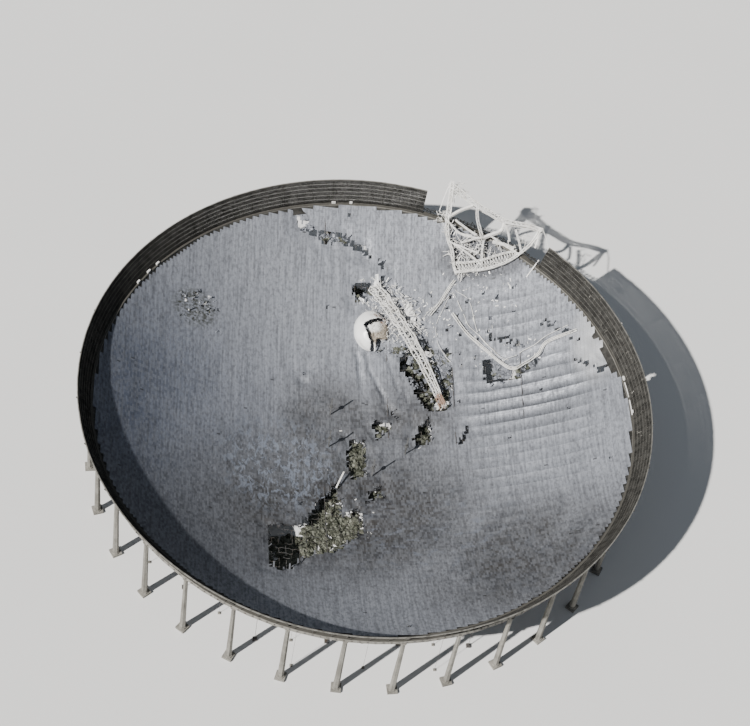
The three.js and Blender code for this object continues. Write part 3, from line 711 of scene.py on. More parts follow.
HANGING_RADIUS = 147  # no torn panels hang beyond it, beside the rim
TORN_SHARE = 0.42  # of the edges of holes that still carry a panel
TORN_THICKNESS = 0.08
# The two corners of each edge of a cell, by the side that it faces
EDGES = {
    (1, 0): ((1, 0), (1, 1)), (-1, 0): ((0, 1), (0, 0)), (0, 1): ((1, 1), (0, 1)), (0, -1): ((0, 0), (1, 0)),
}


def torn_rows(start, end, out, rng):
    """Rows of points of a panel that hangs or stands from the edge between two corners."""
    fall = radians(rng.choice([rng.uniform(35, 88), rng.uniform(35, 88), -rng.uniform(15, 60)]))
    reach = rng.uniform(1.0, 3.4)
    curl = rng.uniform(0.0, 0.5)
    rows = []
    for k in range(4):
        t = k / 3
        angle = fall * (1 + curl * t)
        step = (out * cos(angle) - UPRIGHT * sin(angle)) * reach * t
        pinch = 0.14 * t * rng.random()
        rows.append([start.lerp(end, pinch) + step, end.lerp(start, pinch) + step])
    return rows


def hanging_panels():
    """Torn panels that hang into the holes or stand up at their edges."""
    rng = random.Random(5)
    b = Builder()
    for i, j in sorted(PRESENT):
        if hypot((i + 0.5) * CELL, (j + 0.5) * CELL) > HANGING_RADIUS:
            continue
        for (di, dj), edge in EDGES.items():
            if (i + di, j + dj) in PRESENT or rng.random() > TORN_SHARE:
                continue
            start, end = (surface(i + a, j + c) for a, c in edge)
            b.sheet(torn_rows(start, end, Vector((di, dj, 0)), rng), TORN_THICKNESS)
    b.piece("torn_panels", PANELS)


FRAGMENT_RADIUS = 145
FRAGMENT_THICKNESS = 0.08
# Where loose fragments lie: the middle and reach of each ellipse on plan, and their number
FRAGMENTS = [
    ((64, 94), (34, 22), 90), ((34, 84), (15, 20), 110), ((14, 104), (16, 12), 60), ((-8, -40), (26, 36), 14),
    ((92, 58), (24, 12), 34), ((10, 0), (34, 22), 8),
]


def fragment(b, centre, reach, rng):
    """One loose fragment, left out where it would lie over a hole or the rim."""
    angle, share = rng.uniform(0, 2 * pi), sqrt(rng.random())
    x, y = centre[0] + reach[0] * share * cos(angle), centre[1] + reach[1] * share * sin(angle)
    if hypot(x, y) > FRAGMENT_RADIUS:
        return
    size = rng.uniform(0.3, 1.2)
    tilt = Quaternion(jitter(rng, 1).normalized(), rng.uniform(-0.5, 0.5))
    lie = Vector((-x, -y, SPHERE_RADIUS)).to_track_quat("Z", "Y")
    turn = lie @ Quaternion(UPRIGHT, rng.uniform(0, 6.3)) @ tilt
    if not torn_away(x, y):
        sides = (size * rng.uniform(1.0, 2.2), size * rng.uniform(0.15, 0.8), FRAGMENT_THICKNESS)
        b.box(bowl_point(x, y, relief(x, y) + 0.25), sides, turn)


def scattered_sheets():
    rng = random.Random(21)
    b = Builder()
    for centre, reach, count in FRAGMENTS:
        for _ in range(count):
            fragment(b, centre, reach, rng)
    b.piece("scattered_fragments", WHITE_STEEL)


HEAP_SIZES = (2.4, 5.5)
HEAP_TILT = 0.32
HEAP_THICKNESS = 0.1
# The number of panels below each hole
HEAPS = {
    "south_west_hole": 450, "under_arm": 150, "middle_gash": 80, "east_gash": 60, "arm_foot_gash": 40,
    "north_middle_gash": 24, "south_middle_gash": 24, "beside_dome": 26, "north_gash": 60,
}


def places_inside(outline, count, rng):
    """Random places of the plan inside an outline."""
    xs, ys = zip(*outline)
    places = []
    while len(places) < count:
        x, y = rng.uniform(min(xs), max(xs)), rng.uniform(min(ys), max(ys))
        if inside(outline, x, y):
            places.append((x, y))
    return places


def crumpled_rows(size, tilt, rng):
    """Rows of points of one dented panel about the origin, turned and tilted at random."""
    spin = Quaternion(UPRIGHT, rng.uniform(0, 6.3))
    turn = spin @ Quaternion(jitter(rng, 1).normalized(), rng.uniform(0, tilt))
    seed = rng.uniform(0, 90)
    rows = []
    for j in range(4):
        row = []
        for i in range(4):
            dent = swing(i * 0.7, j * 0.7, seed) * size * 0.35
            row.append(turn @ Vector(((i / 3 - 0.5) * size, (j / 3 - 0.5) * size * 0.8, dent)))
        rows.append(row)
    return rows


def moved(rows, place):
    return [[point + place for point in row] for row in rows]


def heaps():
    """Crumpled panels on the ground below the holes that they fell through."""
    rng = random.Random(51)
    b = Builder()
    for name, count in HEAPS.items():
        for x, y in places_inside(TEARS[name], count, rng):
            rows = crumpled_rows(rng.uniform(*HEAP_SIZES), HEAP_TILT, rng)
            lift = 0.1 + rng.uniform(0, 0.35) - min(point.z for row in rows for point in row)
            b.sheet(moved(rows, Vector((x, y, lift))), HEAP_THICKNESS)
    b.piece("fallen_panel_heaps", FALLEN_PANELS)


# Parts of the holes where broken panels still hang in the cable net: their number, tilt and lowest place.
CAUGHT = [
    ([(82, 59), (92, 53), (92, 46), (82, 46)], 90, 0.25, 1.0),
    ([(92, 53), (106, 54), (104, 50), (95, 45)], 30, 0.9, 3.0),
    ([(28, 67), (32, 54), (44, 32), (53, 31), (56, 40), (57, 56), (54, 67), (42, 74)], 120, 0.9, 3.4),
    ([(46, 70), (52, 67), (57, 66), (58, 48), (52, 42)], 90, 0.45, 1.4),
    ([(13, 70), (26, 68), (29, 66), (30, 72)], 30, 0.4, 1.2),
    ([(-1, 105), (2, 100), (8, 102), (12, 106), (6, 110)], 14, 0.9, 3.0),
    ([(-36, 146), (-28, 138), (-10, 136), (4, 130), (-8, 133), (-20, 133)], 30, 0.9, 3.0),
    ([(-108, 66), (-84, 66), (-84, 90), (-108, 90)], 110, 0.4, 1.6),
]


def caught_panels():
    """Broken panels that hang in the cable net a little below the reflector."""
    rng = random.Random(61)
    clean, stained_and_shaded = Builder(), Builder()
    for outline, count, tilt, lowest in CAUGHT:
        for x, y in places_inside(outline, count, rng):
            rows = crumpled_rows(rng.uniform(1.6, 3.8), tilt, rng)
            place = bowl_point(x, y, -rng.uniform(0.6, lowest))
            # Some panels take the fallen panels' finish: stains, and painted shade as well.
            b = stained_and_shaded if rng.random() < 0.4 * tilt / 0.9 else clean
            b.sheet(moved(rows, place), TORN_THICKNESS)
    clean.piece("caught_panels", PANELS)
    stained_and_shaded.piece("caught_stained_and_shaded_panels", FALLEN_PANELS)


# Cable net, purlins and tie-downs under the panels

NET_PITCH = CABLE_PITCH / 2
NET_COUNT = int(150 / NET_PITCH)
NET_WIDTH = 0.16
NET_GONE = 0.6  # of the lengths over a hole
LONG_DROP = 0.95
CROSS_DROP = 0.75
PURLIN_RADIUS = 148
PURLIN_WIDTH = 0.14
PURLIN_DROP = 0.34
NEARBY = [(0, 0), (1.6, 0), (-1.6, 0), (0, 1.6), (0, -1.6)]


def under_surface(x, y, drop):
    """A place below the panels that stays clear of their dents nearby."""
    lowest = min(relief(x + dx, y + dy) for dx, dy in NEARBY)
    return bowl_point(x, y, min(lowest, 0.0) - drop)


def net_line(b, fixed, along_y, drop, rng):
    """One cable of the net, broken and sagging where it crosses a hole."""
    reach = sqrt(APERTURE_RADIUS**2 - fixed * fixed)
    steps = max(2, round(2 * reach / NET_PITCH))
    points = []
    for k in range(steps + 1):
        t = -reach + 2 * reach * k / steps
        points.append(under_surface(*((fixed, t) if along_y else (t, fixed)), drop))
    for start, end in zip(points, points[1:]):
        middle = (start + end) / 2
        if not torn_away(middle.x, middle.y):
            b.bar(start, end, NET_WIDTH)
        elif rng.random() >= NET_GONE:
            middle.z -= rng.uniform(0.2, 1.2)
            b.line([start, middle, end], NET_WIDTH)


def cable_net():
    rng = random.Random(3)
    for name, along_y, drop in (("long_cables", True, LONG_DROP), ("cross_cables", False, CROSS_DROP)):
        b = Builder()
        for k in range(-NET_COUNT, NET_COUNT + 1):
            net_line(b, k * NET_PITCH, along_y, drop, rng)
        b.piece(name, CABLES)


def purlins():
    """Light frames between the panels and the net, seen from below."""
    b = Builder()
    for i in range(-NET_COUNT, NET_COUNT):
        for j in range(-NET_COUNT, NET_COUNT):
            x, y = (i + 0.5) * NET_PITCH, (j + 0.5) * NET_PITCH
            if hypot(x, y) <= PURLIN_RADIUS and not torn_away(x, y):
                ends = [under_surface(x, y + side * NET_PITCH / 2, PURLIN_DROP) for side in (-1, 1)]
                b.bar(*ends, PURLIN_WIDTH)
    b.piece("purlins", PURLINS)


CABLE_STEP = 19.5
TIE_RADIUS = 146
TIE_WIDTH = 0.12
BLOCK_SIZE = (1.5, 1.5, 0.6)
CAP_SIZE = (0.7, 0.7, 0.3)
CAD_CABLES = [CABLE_STEP * k for k in (-5, -3, -1, 1, 3, 5)]


def tie_downs():
    """Fine tie-downs and their blocks, between the larger ones that carry the main cables."""
    ties, blocks = Builder(), Builder()
    for i in range(-7, 8):
        x = i * CABLE_STEP
        if x in CAD_CABLES:
            continue
        for y in (j * 2 * CABLE_PITCH for j in range(-9, 10)):
            if hypot(x, y) > TIE_RADIUS:
                continue
            ties.bar(Vector((x, y, BLOCK_SIZE[2])), bowl_point(x, y, -LONG_DROP), TIE_WIDTH)
            blocks.box(Vector((x, y, 0.3)), BLOCK_SIZE)
            blocks.box(Vector((x, y, 0.75)), CAP_SIZE)
    ties.piece("fine_tie_downs", CABLES)
    blocks.piece("tie_down_blocks", CONCRETE)


# Ground screen

POSTS_PER_SEGMENT = 23
RAILS = 7
WIRES_BETWEEN_RAILS = 4
UPRIGHTS_PER_BAY = 7
POST_WIDTH = 0.26
WIRE_WIDTH = 0.25
RAIL_WIDTH = 0.24
TOP_RAIL_WIDTH = 0.55
BENT_RAIL_COUNT = 64


def screen_point(degrees, up, behind=0.0):
    """A place on the screen: up runs 0 to 1 from its foot to its top, behind is outside it."""
    radius = APERTURE_RADIUS + SCREEN_FOOT + SCREEN_LEAN * up + behind
    return polar(radius, degrees, RIM_TOP + 0.02 + SCREEN_RISE * up)


def screen_dent(degrees, up):
    """The screen is a little out of true, more so beside the crushed stretch."""
    near = 1 - fade(min(abs(degrees - SCREEN_START), abs(SCREEN_END - degrees)), 0, 14)
    wave = swing(degrees * 0.35, up * 2.0, 2.0)
    return screen_point(degrees, up, up * (0.12 * wave - 1.6 * near * max(0.0, wave + 0.2)))


def screen_segment(number):
    span = (SCREEN_END - SCREEN_START) / SCREEN_SEGMENTS
    first = SCREEN_START + number * span
    step = span / POSTS_PER_SEGMENT
    b, rail = Builder(), Builder()
    rows = (RAILS - 1) * (WIRES_BETWEEN_RAILS + 1)
    grid = [
        [screen_dent(first + i * step, j / rows) for j in range(rows + 1)]
        for i in range(POSTS_PER_SEGMENT + 1)
    ]
    for column in grid[:-1] if number < SCREEN_SEGMENTS - 1 else grid:
        half = rows // 2
        b.line([column[0], column[half], column[-1]], POST_WIDTH)
    for left, right in zip(grid, grid[1:]):
        for j in range(rows + 1):
            if j % (WIRES_BETWEEN_RAILS + 1) == 0:
                rail.bar(left[j], right[j], TOP_RAIL_WIDTH if j == rows else RAIL_WIDTH)
            else:
                b.bar(left[j], right[j], WIRE_WIDTH, 3)
        for k in range(1, UPRIGHTS_PER_BAY + 1):
            t = k / (UPRIGHTS_PER_BAY + 1)
            b.bar(left[0].lerp(right[0], t), left[-1].lerp(right[-1], t), WIRE_WIDTH, 3)
    b.piece(f"screen_mesh_{number + 1}", GALVANISED, [f"ground_screen_{number + 1}"])
    rail.piece(f"screen_rails_{number + 1}", PALE_RAIL)


def screen_braces():
    """Raking braces behind the posts, down to the outer edge of the rim beam."""
    b = Builder()
    span = (SCREEN_END - SCREEN_START) / SCREEN_SEGMENTS / POSTS_PER_SEGMENT
    count = SCREEN_SEGMENTS * POSTS_PER_SEGMENT
    for i in range(0, count + 1, 2):
        degrees = SCREEN_START + i * span
        foot = polar(APERTURE_RADIUS + RIM_WIDTH - 0.25, degrees, RIM_TOP - 0.4)
        b.bar(foot, screen_point(degrees, 0.55, 0.2), 0.18)
        b.bar(screen_point(degrees, 0.25, 0.2), screen_point(degrees, 0.55, 0.2), 0.14)
    b.piece("screen_braces", GALVANISED)


def bent_rails():
    """Bent ends of rails on the east stretch of the screen."""
    rng = random.Random(67)
    b = Builder()
    for _ in range(BENT_RAIL_COUNT):
        start = screen_point(rng.uniform(-8, 40), rng.uniform(0.3, 0.95), -0.2)
        middle = start + jitter(rng, 1.6)
        b.line([start, middle, middle + jitter(rng, 1.2)], rng.uniform(0.16, 0.3))
    b.piece("bent_rails", PALE_RAIL)


CRUSHED_INNER = 153.4
CRUSHED_OUTER = 157.2


def crushed_screen():
    """Posts and mesh folded over the rim under the platform."""
    rng = random.Random(9)
    b = Builder()
    columns = 34
    rows = 10
    start, end = SCREEN_END - 360.0, SCREEN_START

    def fold(i, j):
        degrees = start + (end - start) * i / columns
        up = j / rows
        wave = swing(degrees * 0.7, up * 1.5, 4.0)
        radius = 153.7 + 1.7 * sin(up * 5.5 + degrees) ** 2 + 1.5 * up + wave
        height = RIM_TOP + 0.3 + 2.3 * sin(pi * up) * (0.7 + 0.6 * wave) + 0.4 * up
        return polar(max(CRUSHED_INNER, min(radius, CRUSHED_OUTER)), degrees, height)

    grid = [[fold(i, j) + jitter(rng, 0.25) for j in range(rows + 1)] for i in range(columns + 1)]
    for column in grid:
        b.line(column, 0.2)
    for left, right in zip(grid, grid[1:]):
        for j in range(rows + 1):
            if rng.random() < 0.75:
                b.bar(left[j], right[j], 0.1, 3)
    b.piece("crushed_mesh", GALVANISED, ["crushed_screen"])


# Rim details

EDGE_COUNT = 240
BEAM_OUTER = APERTURE_RADIUS + RIM_WIDTH
BEAM_DEPTH = 2.8
PLATE_SIZE = (0.24, 0.8, 0.8)
PLATE_DROP = 1.4
PIPE_WIDTH = 0.5
SHADE_SHEET_INNER = 149.0
SHADE_SHEET_DROP = 0.85
# Junction boxes on the rim beam, as bearings and lengths, and pipes, as the bearings of their ends
RIM_BOXES = [(95.6, 2.2), (91.6, 1.6), (141.6, 2.4), (144.7, 2.6), (148.5, 2.2), (9.4, 2.6), (0.3, 1.8)]
RIM_PIPES = [(-0.5, 3.5), (4.3, 8.3)]


def anchor_plates():
    """Anchor plates of the cables on the outer face of the rim beam."""
    b = Builder()
    for k in range(EDGE_COUNT):
        degrees = 360 * k / EDGE_COUNT
        turn = heading(degrees)
        b.box(polar(BEAM_OUTER + 0.02, degrees, RIM_TOP - PLATE_DROP), PLATE_SIZE, turn)
        bolt = polar(BEAM_OUTER + 0.1, degrees, RIM_TOP - PLATE_DROP)
        b.bar(bolt, bolt + turn @ Vector((0.35, 0, 0)), 0.3, 6)
    b.piece("anchor_plates", CABLES)


def rim_boxes():
    b = Builder()
    for degrees, length in RIM_BOXES:
        turn = heading(degrees)
        place = polar(APERTURE_RADIUS + 0.75, degrees, RIM_TOP + 0.55)
        b.box(place, (0.9, length, 1.1), turn)
        b.box(place + UPRIGHT * 0.62, (1.0, length + 0.1, 0.12), turn)
    for start, end in RIM_PIPES:
        bearings = [start + (end - start) * k / 5 for k in range(6)]
        b.line([polar(APERTURE_RADIUS + 0.45, degrees, RIM_TOP + 0.5) for degrees in bearings], PIPE_WIDTH)
    b.piece("rim_boxes", WHITE_STEEL)


def edge_shade_sheet():
    """A dark sheet that stands for the shade between the stepped panel edge and the rim beam, and closes the
    gap there.
    """
    b = Builder()
    radii = (SHADE_SHEET_INNER, APERTURE_RADIUS - 0.05)
    for k in range(EDGE_COUNT):
        start, end = 360 * k / EDGE_COUNT, 360 * (k + 1) / EDGE_COUNT
        b.sheet([[polar(r, at, bowl_height(r) - SHADE_SHEET_DROP) for r in radii] for at in (end, start)], 0.06)
    b.piece("edge_shade_sheet", GALVANISED)


PIER_COUNT = 32
PLINTH_WIDTHS = (4.4, 4.0)


def pier_details():
    """Corbels at the pier heads and plinths on the footings."""
    b = Builder()
    radius = APERTURE_RADIUS + RIM_WIDTH / 2
    beam_foot = RIM_TOP - BEAM_DEPTH
    corbels = [(3.1, beam_foot - 1.4, beam_foot - 0.7), (3.7, beam_foot - 0.7, beam_foot + 0.02)]
    for k in range(PIER_COUNT):
        degrees = 360 * (k + 0.5) / PIER_COUNT
        for width, low, high in corbels:
            b.bar(polar(radius, degrees, low), polar(radius, degrees, high), width, 8)
        low, high = polar(radius, degrees, 1.4), polar(radius, degrees, 2.3)
        b.bar(low, high, PLINTH_WIDTHS[0], 8, PLINTH_WIDTHS[1])
    b.piece("pier_heads_and_plinths", CONCRETE)


# Platform wreck

PLATFORM_TOP = Vector((55.6, 158.0, 71.7))
PLATFORM_EAST = Vector((111.0, 128.0, 66.5))
PLATFORM_LOW = Vector((59.8, 110.4, 42.0))
PLATFORM_DEPTH = 4.5
ALONG = (PLATFORM_EAST - PLATFORM_LOW).normalized()
OUT = ALONG.cross(PLATFORM_TOP - PLATFORM_LOW).normalized()
UP = OUT.cross(ALONG)


def on_platform(u, v, below=0.0):
    return PLATFORM_LOW + ALONG * u + UP * v - OUT * below


def spline(points, share):
    """A smooth curve through the points, at a share of its whole run."""
    run = share * (len(points) - 1)
    k = min(int(run), len(points) - 2)
    t = run - k
    before, a, b, after = (
        Vector(points[max(0, min(len(points) - 1, n))]) for n in (k - 1, k, k + 1, k + 2)
    )
    return 0.5 * (2 * a + (b - before) * t + (2 * before - 5 * a + 4 * b - after) * t * t
                  + (3 * a - before - 3 * b + after) * t**3)


def lattice(b, first, second, web, rng, missing=0.06, crossed=0.6):
    """Posts and crossed diagonals between two lines of points, a few of them gone."""
    for k, (near, far) in enumerate(zip(first, second)):
        b.bar(near, far, web)
        if k + 1 == len(first) or rng.random() < missing:
            continue
        b.bar(near, second[k + 1], web)
        if rng.random() < crossed:
            b.bar(far, first[k + 1], web * 0.8)


def ahead_of(path, k):
    """The way that a line of points runs at one of them."""
    return path[min(k + 1, len(path) - 1)] - path[max(k - 1, 0)]


def platform_truss(b, points, width, depth, cells, sizes, rng):
    """A truss of four chords. The first follows the points, as (u, v), and the width lies on its left."""
    chord, web = sizes
    path = [spline(points, k / cells) for k in range(cells + 1)]
    lines = [[], [], [], []]
    for k, place in enumerate(path):
        ahead = ahead_of(path, k)
        side = Vector((-ahead.y, ahead.x)).normalized()
        reach = width[0] + (width[1] - width[0]) * k / cells
        for line, (across, below) in zip(lines, ((0, 0), (reach, 0), (reach, depth), (0, depth))):
            u, v = place + side * across
            line.append(on_platform(u, v, below) + jitter(rng, 0.12))
    for line in lines:
        b.line(line, chord)
    for near, far in ((0, 1), (1, 2), (2, 3), (3, 0)):
        lattice(b, lines[near], lines[far], web, rng)


WEST_UPPER = [(23, 52.4), (17.5, 44.5), (10.9, 35)]
WEST_LOWER = [(10.9, 35), (8, 29.6), (4.6, 20.9), (4, 14.3), (0.9, 6.2), (0, 0)]
NORTH_SIDE = [(59.5, 0.3), (52.2, 7.7), (42.5, 15.6), (36.9, 24.4), (31.4, 33.4), (23, 52)]
SOUTH_SIDE = [
    (0.5, 0.4), (8.5, -2.7), (16.2, -5.8), (24.4, -7.5), (33.1, -8.2), (41.5, -7), (49.9, -4.6), (58.4, 0.3),
]
TRACK_LINE = [(3, 5.5), (9, 2.6), (15, 0.6), (20.9, -0.8), (27.5, -1.8), (33.8, -3.1), (38.5, -4.8)]

# The trusses of each side: their line, widths at both ends, depth, cells, and chord and web sizes
SIDE_TRUSSES = {
    "west": [
        (WEST_UPPER, (1.8, 2.6), PLATFORM_DEPTH, 7, (0.65, 0.3)),
        (WEST_LOWER, (1.8, 1.0), PLATFORM_DEPTH, 12, (0.45, 0.22)),
    ],
    "south": [(SOUTH_SIDE, (0.9, 1.3), 2.8, 20, (0.5, 0.24))],
    "north": [(NORTH_SIDE, (1.6, 3.0), PLATFORM_DEPTH, 20, (0.5, 0.24))],
}


def platform_sides():
    rng = random.Random(17)
    for side, trusses in SIDE_TRUSSES.items():
        b = Builder()
        for truss in trusses:
            platform_truss(b, *truss, rng)
        b.piece(f"platform_{side}_truss", WHITE_STEEL, [f"platform_side_{side}"])


# Members across the middle as lines of (u, v) with a width: first the solid ones, then the latticed ones.
GIRDERS = [
    ([(11.5, 33.2), (20, 33.6), (28, 32.6)], 1.5),
    ([(24.5, 12.1), (31, 11.6), (36.4, 11.1), (40, 14.4)], 1.7),
    ([(40.5, 12.6), (39.5, 7.5), (37.9, 2.8)], 1.0), ([(28.8, 7.5), (34, 3), (38.3, -2.4)], 1.5),
    ([(57, -0.4), (49.8, -7.8)], 0.8),
]
TRUSSES = [
    ([(31.6, 33.8), (28.4, 29), (26, 23.7), (23.5, 12.2)], 1.4), ([(44, 7.7), (42.8, 1), (41.2, -5.1)], 0.8),
    ([(23.8, 10.7), (19.6, 4.4), (15.7, -3)], 0.8), ([(14.4, 29.7), (18, 22), (21.8, 15.4)], 0.6),
    ([(11.2, 23.3), (15, 19.2), (19.2, 16.1)], 0.6), ([(11.5, 15.1), (18, 14), (24.5, 12.1)], 0.6),
    ([(6.6, 17.6), (12, 11.4), (17.9, 5.1)], 0.5), ([(29, 11.3), (34.6, 1), (39, -6.4)], 0.6),
    ([(4.6, 20.9), (12, 8), (16, -2)], 0.45), ([(9.6, 33), (14, 20), (23.5, 12.2)], 0.45),
]
# Clumps of bent members as (u, v) ranges, with their number and greatest length.
CLUMPS = [
    ((1.5, 24), (-4, 18), 210, 6.5), ((20, 50), (-5, 9), 50, 5.5), ((18, 29), (42, 50), 60, 4.0),
    ((4, 14), (18, 38), 50, 4.5),
]
OUTER_LINE = [(22, 51), (18.3, 48.5), (13.4, 44.1), (8.2, 38.9)]
LOOSE_BAR = [(108.8, 112.3, 56.0), (101.8, 104.5, 48.8)]
EAST_STAY = [
    (111.0, 127.5, 66.0), (112.6, 123.2, 64.2), (114.3, 114.7, 60.2), (115.3, 108.0, 57.3),
    (125.6, 97.9, 58.2),
]


def girders(b):
    for points, width in GIRDERS:
        line = [on_platform(*spline(points, k / 8), 0.3 + width / 2) for k in range(9)]
        b.line(line, width)
        b.line([place + OUT * (width / 2) for place in line], width * 0.35)


def inner_trusses(b, rng):
    for points, width in TRUSSES:
        run = sum((Vector(q) - Vector(p)).length for p, q in zip(points, points[1:]))
        platform_truss(b, points, (width, width), 2.0, max(4, round(run / 2.4)), (0.3, 0.16), rng)


def bent_clumps(b, rng):
    for us, vs, count, longest in CLUMPS:
        for _ in range(count):
            start = on_platform(rng.uniform(*us), rng.uniform(*vs), rng.uniform(0.3, 4))
            reach = ALONG * rng.uniform(-1, 1) + UP * rng.uniform(-1, 1) + OUT * rng.uniform(-0.6, 0.1)
            b.bar(start, start + reach.normalized() * rng.uniform(1.5, longest), rng.uniform(0.12, 0.34))


TRACK_CELLS = 22


def track_ties(b, rng):
    """Zigzag ties between the south side and the curved track."""
    for k in range(TRACK_CELLS):
        outer = on_platform(*spline(SOUTH_SIDE, 0.06 + 0.62 * k / TRACK_CELLS), 0.6)
        for at in (k, k + 1):
            track = on_platform(*spline(TRACK_LINE, at / TRACK_CELLS), 0.8)
            b.bar(outer, track, rng.uniform(0.2, 0.34))


def platform_inside():
    rng = random.Random(23)
    b = Builder()
    girders(b)
    inner_trusses(b, rng)
    bent_clumps(b, rng)
    track_ties(b, rng)
    b.line([on_platform(u, v, 0.4) for u, v in OUTER_LINE], 0.4)
    b.piece("platform_inner_trusses", WHITE_STEEL, ["platform_inner_frame"])


def platform_loose():
    b = Builder()
    b.line([Vector(place) for place in LOOSE_BAR], 0.6)
    b.line([Vector(place) for place in EAST_STAY], 0.36)
    b.piece("platform_loose_members", WHITE_STEEL)


def platform_track():
    rng = random.Random(29)
    b = Builder()
    platform_truss(b, TRACK_LINE, (0.9, 0.9), 1.9, TRACK_CELLS, (0.36, 0.2), rng)
    b.piece("platform_track", WHITE_STEEL, ["platform_track_beam"])


# Arm wreck

ARM_NORTH = (11.5, 107.5)
ARM_SOUTH = (51.8, 29.0)
ARM_WIDTH = 4.6
ARM_DEPTH = 3.6
ARM_LEAN = 0.2
ARM_BOW = 2.0
ARM_SIDE_BOW = 2.6
ARM_LIFT = 0.3
ARM_CELLS = 26

ARM_START = bowl_point(*ARM_NORTH, ARM_LIFT)
ARM_RUN = bowl_point(*ARM_SOUTH, ARM_LIFT) - ARM_START
ARM_ALONG = ARM_RUN.normalized()
ARM_ACROSS = ARM_ALONG.cross(Vector((0, 0, 1))).normalized()
ARM_UP = ARM_ACROSS.cross(ARM_ALONG)


def on_arm(t, side, rise):
    """A place on the arm: t runs 0 to 1 from its north end, side is west of its middle."""
    bend = sin(pi * t)
    across = ARM_ACROSS * (side - ARM_SIDE_BOW * bend)
    return ARM_START + ARM_RUN * t + across + ARM_UP * (rise + ARM_BOW * bend)


def arm_line(side, rise, rng):
    """One chord of the arm. The arm is widest north of its middle and narrow at its southern foot."""
    line = []
    for k in range(ARM_CELLS + 1):
        t = k / ARM_CELLS
        bent = 0.2 + 0.55 * (1 - fade(t, 0.3, 0.7))
        line.append(on_arm(t, side * (1.35 - 0.75 * fade(t, 0.4, 1.0)), rise) + jitter(rng, bent))
    return line


# Where the arm's broken members lie about its northern half
TANGLE = [
    (10.2, 111.7), (18, 112), (29, 104), (38.3, 97), (40.5, 81.9), (38, 70), (30, 66), (25.5, 78), (21, 86),
    (15, 97.6),
]
TANGLE_COUNT = 300
LOW_CHORD = 0.4
HIGH_CHORD = 0.55
ARM_WEB = 0.3
ARM_ZIGZAG = 0.42


def arm():
    rng = random.Random(31)
    half = ARM_WIDTH / 2
    top = half * (1 - ARM_LEAN)
    low = {side: arm_line(side * half, 0, rng) for side in (1, -1)}
    high = {side: arm_line(side * top, ARM_DEPTH, rng) for side in (1, -1)}
    for name, side in (("west", 1), ("east", -1)):
        b = Builder()
        b.line(low[side], LOW_CHORD)
        b.line(high[side], HIGH_CHORD)
        lattice(b, low[side], high[side], ARM_WEB, rng, 0.15, 0.3)
        b.piece(f"arm_{name}_lattice", WHITE_STEEL, [f"arm_side_{name}"])
    b = Builder()
    b.line(arm_line(-0.3, ARM_DEPTH + 0.1, rng), LOW_CHORD)
    for near, far, edge in zip(high[1][::2], high[-1][1::2], high[1][2::2]):
        b.line([near, far, edge], ARM_ZIGZAG)
    lattice(b, low[1], low[-1], 0.2, rng, 0.4, 0.2)
    for x, y in places_inside(TANGLE, TANGLE_COUNT, rng):
        start = bowl_point(x, y, rng.uniform(0.3, 3.0))
        b.bar(start, start + jitter(rng, 2.6), rng.uniform(0.16, 0.42))
    b.piece("arm_cross_bracing", WHITE_STEEL, ["arm_bracing"])


# Dome wreck

DOME_AT = (9.9, 81.0)
DOME_RADIUS = 12.5
DOME_SKIN_THICKNESS = 0.35
DOME_SPREAD = (0.84, 1.04)
DOME_RISE = 0.8
DOME_SUNK_RISE = 0.42
DOME_TURN = 6.0
DOME_TILT = 18.0
SUNK_SIDE = [
    (4.2, 79.8), (5.5, 76), (8.6, 70.5), (11.6, 60), (50, 60), (50, 92), (24, 88), (16, 85.5), (9, 82.2),
]
OPEN_SIDE = [(12, 60), (50, 60), (50, 78), (22, 77), (17, 74.5), (13, 74)]
SLOT = [(4.6, 78.6), (5.5, 76), (8.6, 70.5), (11.6, 60), (14.2, 60), (11.3, 71), (8.3, 76.4), (7, 79)]


def dome_point(bearing, rise, inset=0.0, height=DOME_RISE):
    """A place on the dome's skin: bearing and rise in degrees."""
    flat = polar((DOME_RADIUS - inset) * cos(radians(rise)), bearing, 0.0)
    level = (DOME_RADIUS - inset) * sin(radians(rise)) * height
    local = Vector((flat.x * DOME_SPREAD[0], flat.y * DOME_SPREAD[1], level))
    turned = Matrix.Rotation(radians(DOME_TURN), 3, "Z") @ local
    return bowl_point(*DOME_AT, 0.5) + Matrix.Rotation(radians(DOME_TILT), 3, "X") @ turned


def dome_skin(b, height, kept, dents):
    """The cells of the dome's skin that are kept, with an inner skin behind them."""
    columns, rows = 120, 32
    lowest, step = -6.0, 3.0

    def skin(i, j, inset):
        bearing, rise = 360 * i / columns, lowest + step * j
        wave = noise.noise(polar(1.6, bearing, j * 0.12))
        return dome_point(bearing, min(rise, 90.0), inset + dents * max(0.0, wave), height)

    def is_kept(i, j):
        middle = skin(i + 0.5, j + 0.5, 0.0)
        shift = noise_vector(middle * 0.45) * 0.5
        return kept(middle.x + shift.x, middle.y + shift.y)

    shown = {(i, j) for i in range(columns) for j in range(rows) if is_kept(i, j)}
    b.shell(sorted(shown), shown, lambda i, j, layer: skin(i, j, DOME_SKIN_THICKNESS * layer), columns)


def dome():
    b = Builder()
    dome_skin(b, DOME_RISE, lambda x, y: not inside(SUNK_SIDE, x, y), 0.5)
    gone = (OPEN_SIDE, SLOT)
    dome_skin(
        b, DOME_SUNK_RISE,
        lambda x, y: inside(SUNK_SIDE, x, y) and not any(inside(outline, x, y) for outline in gone), 2.2,
    )
    b.piece("dome_skin", DOME_SKIN, ["dome_shell"], smooth=True)


RIB_INSET = 0.6


def standing(points):
    """The points that are clear of the sunken side."""
    return [point for point in points if not inside(SUNK_SIDE, point.x + RIB_INSET, point.y)]


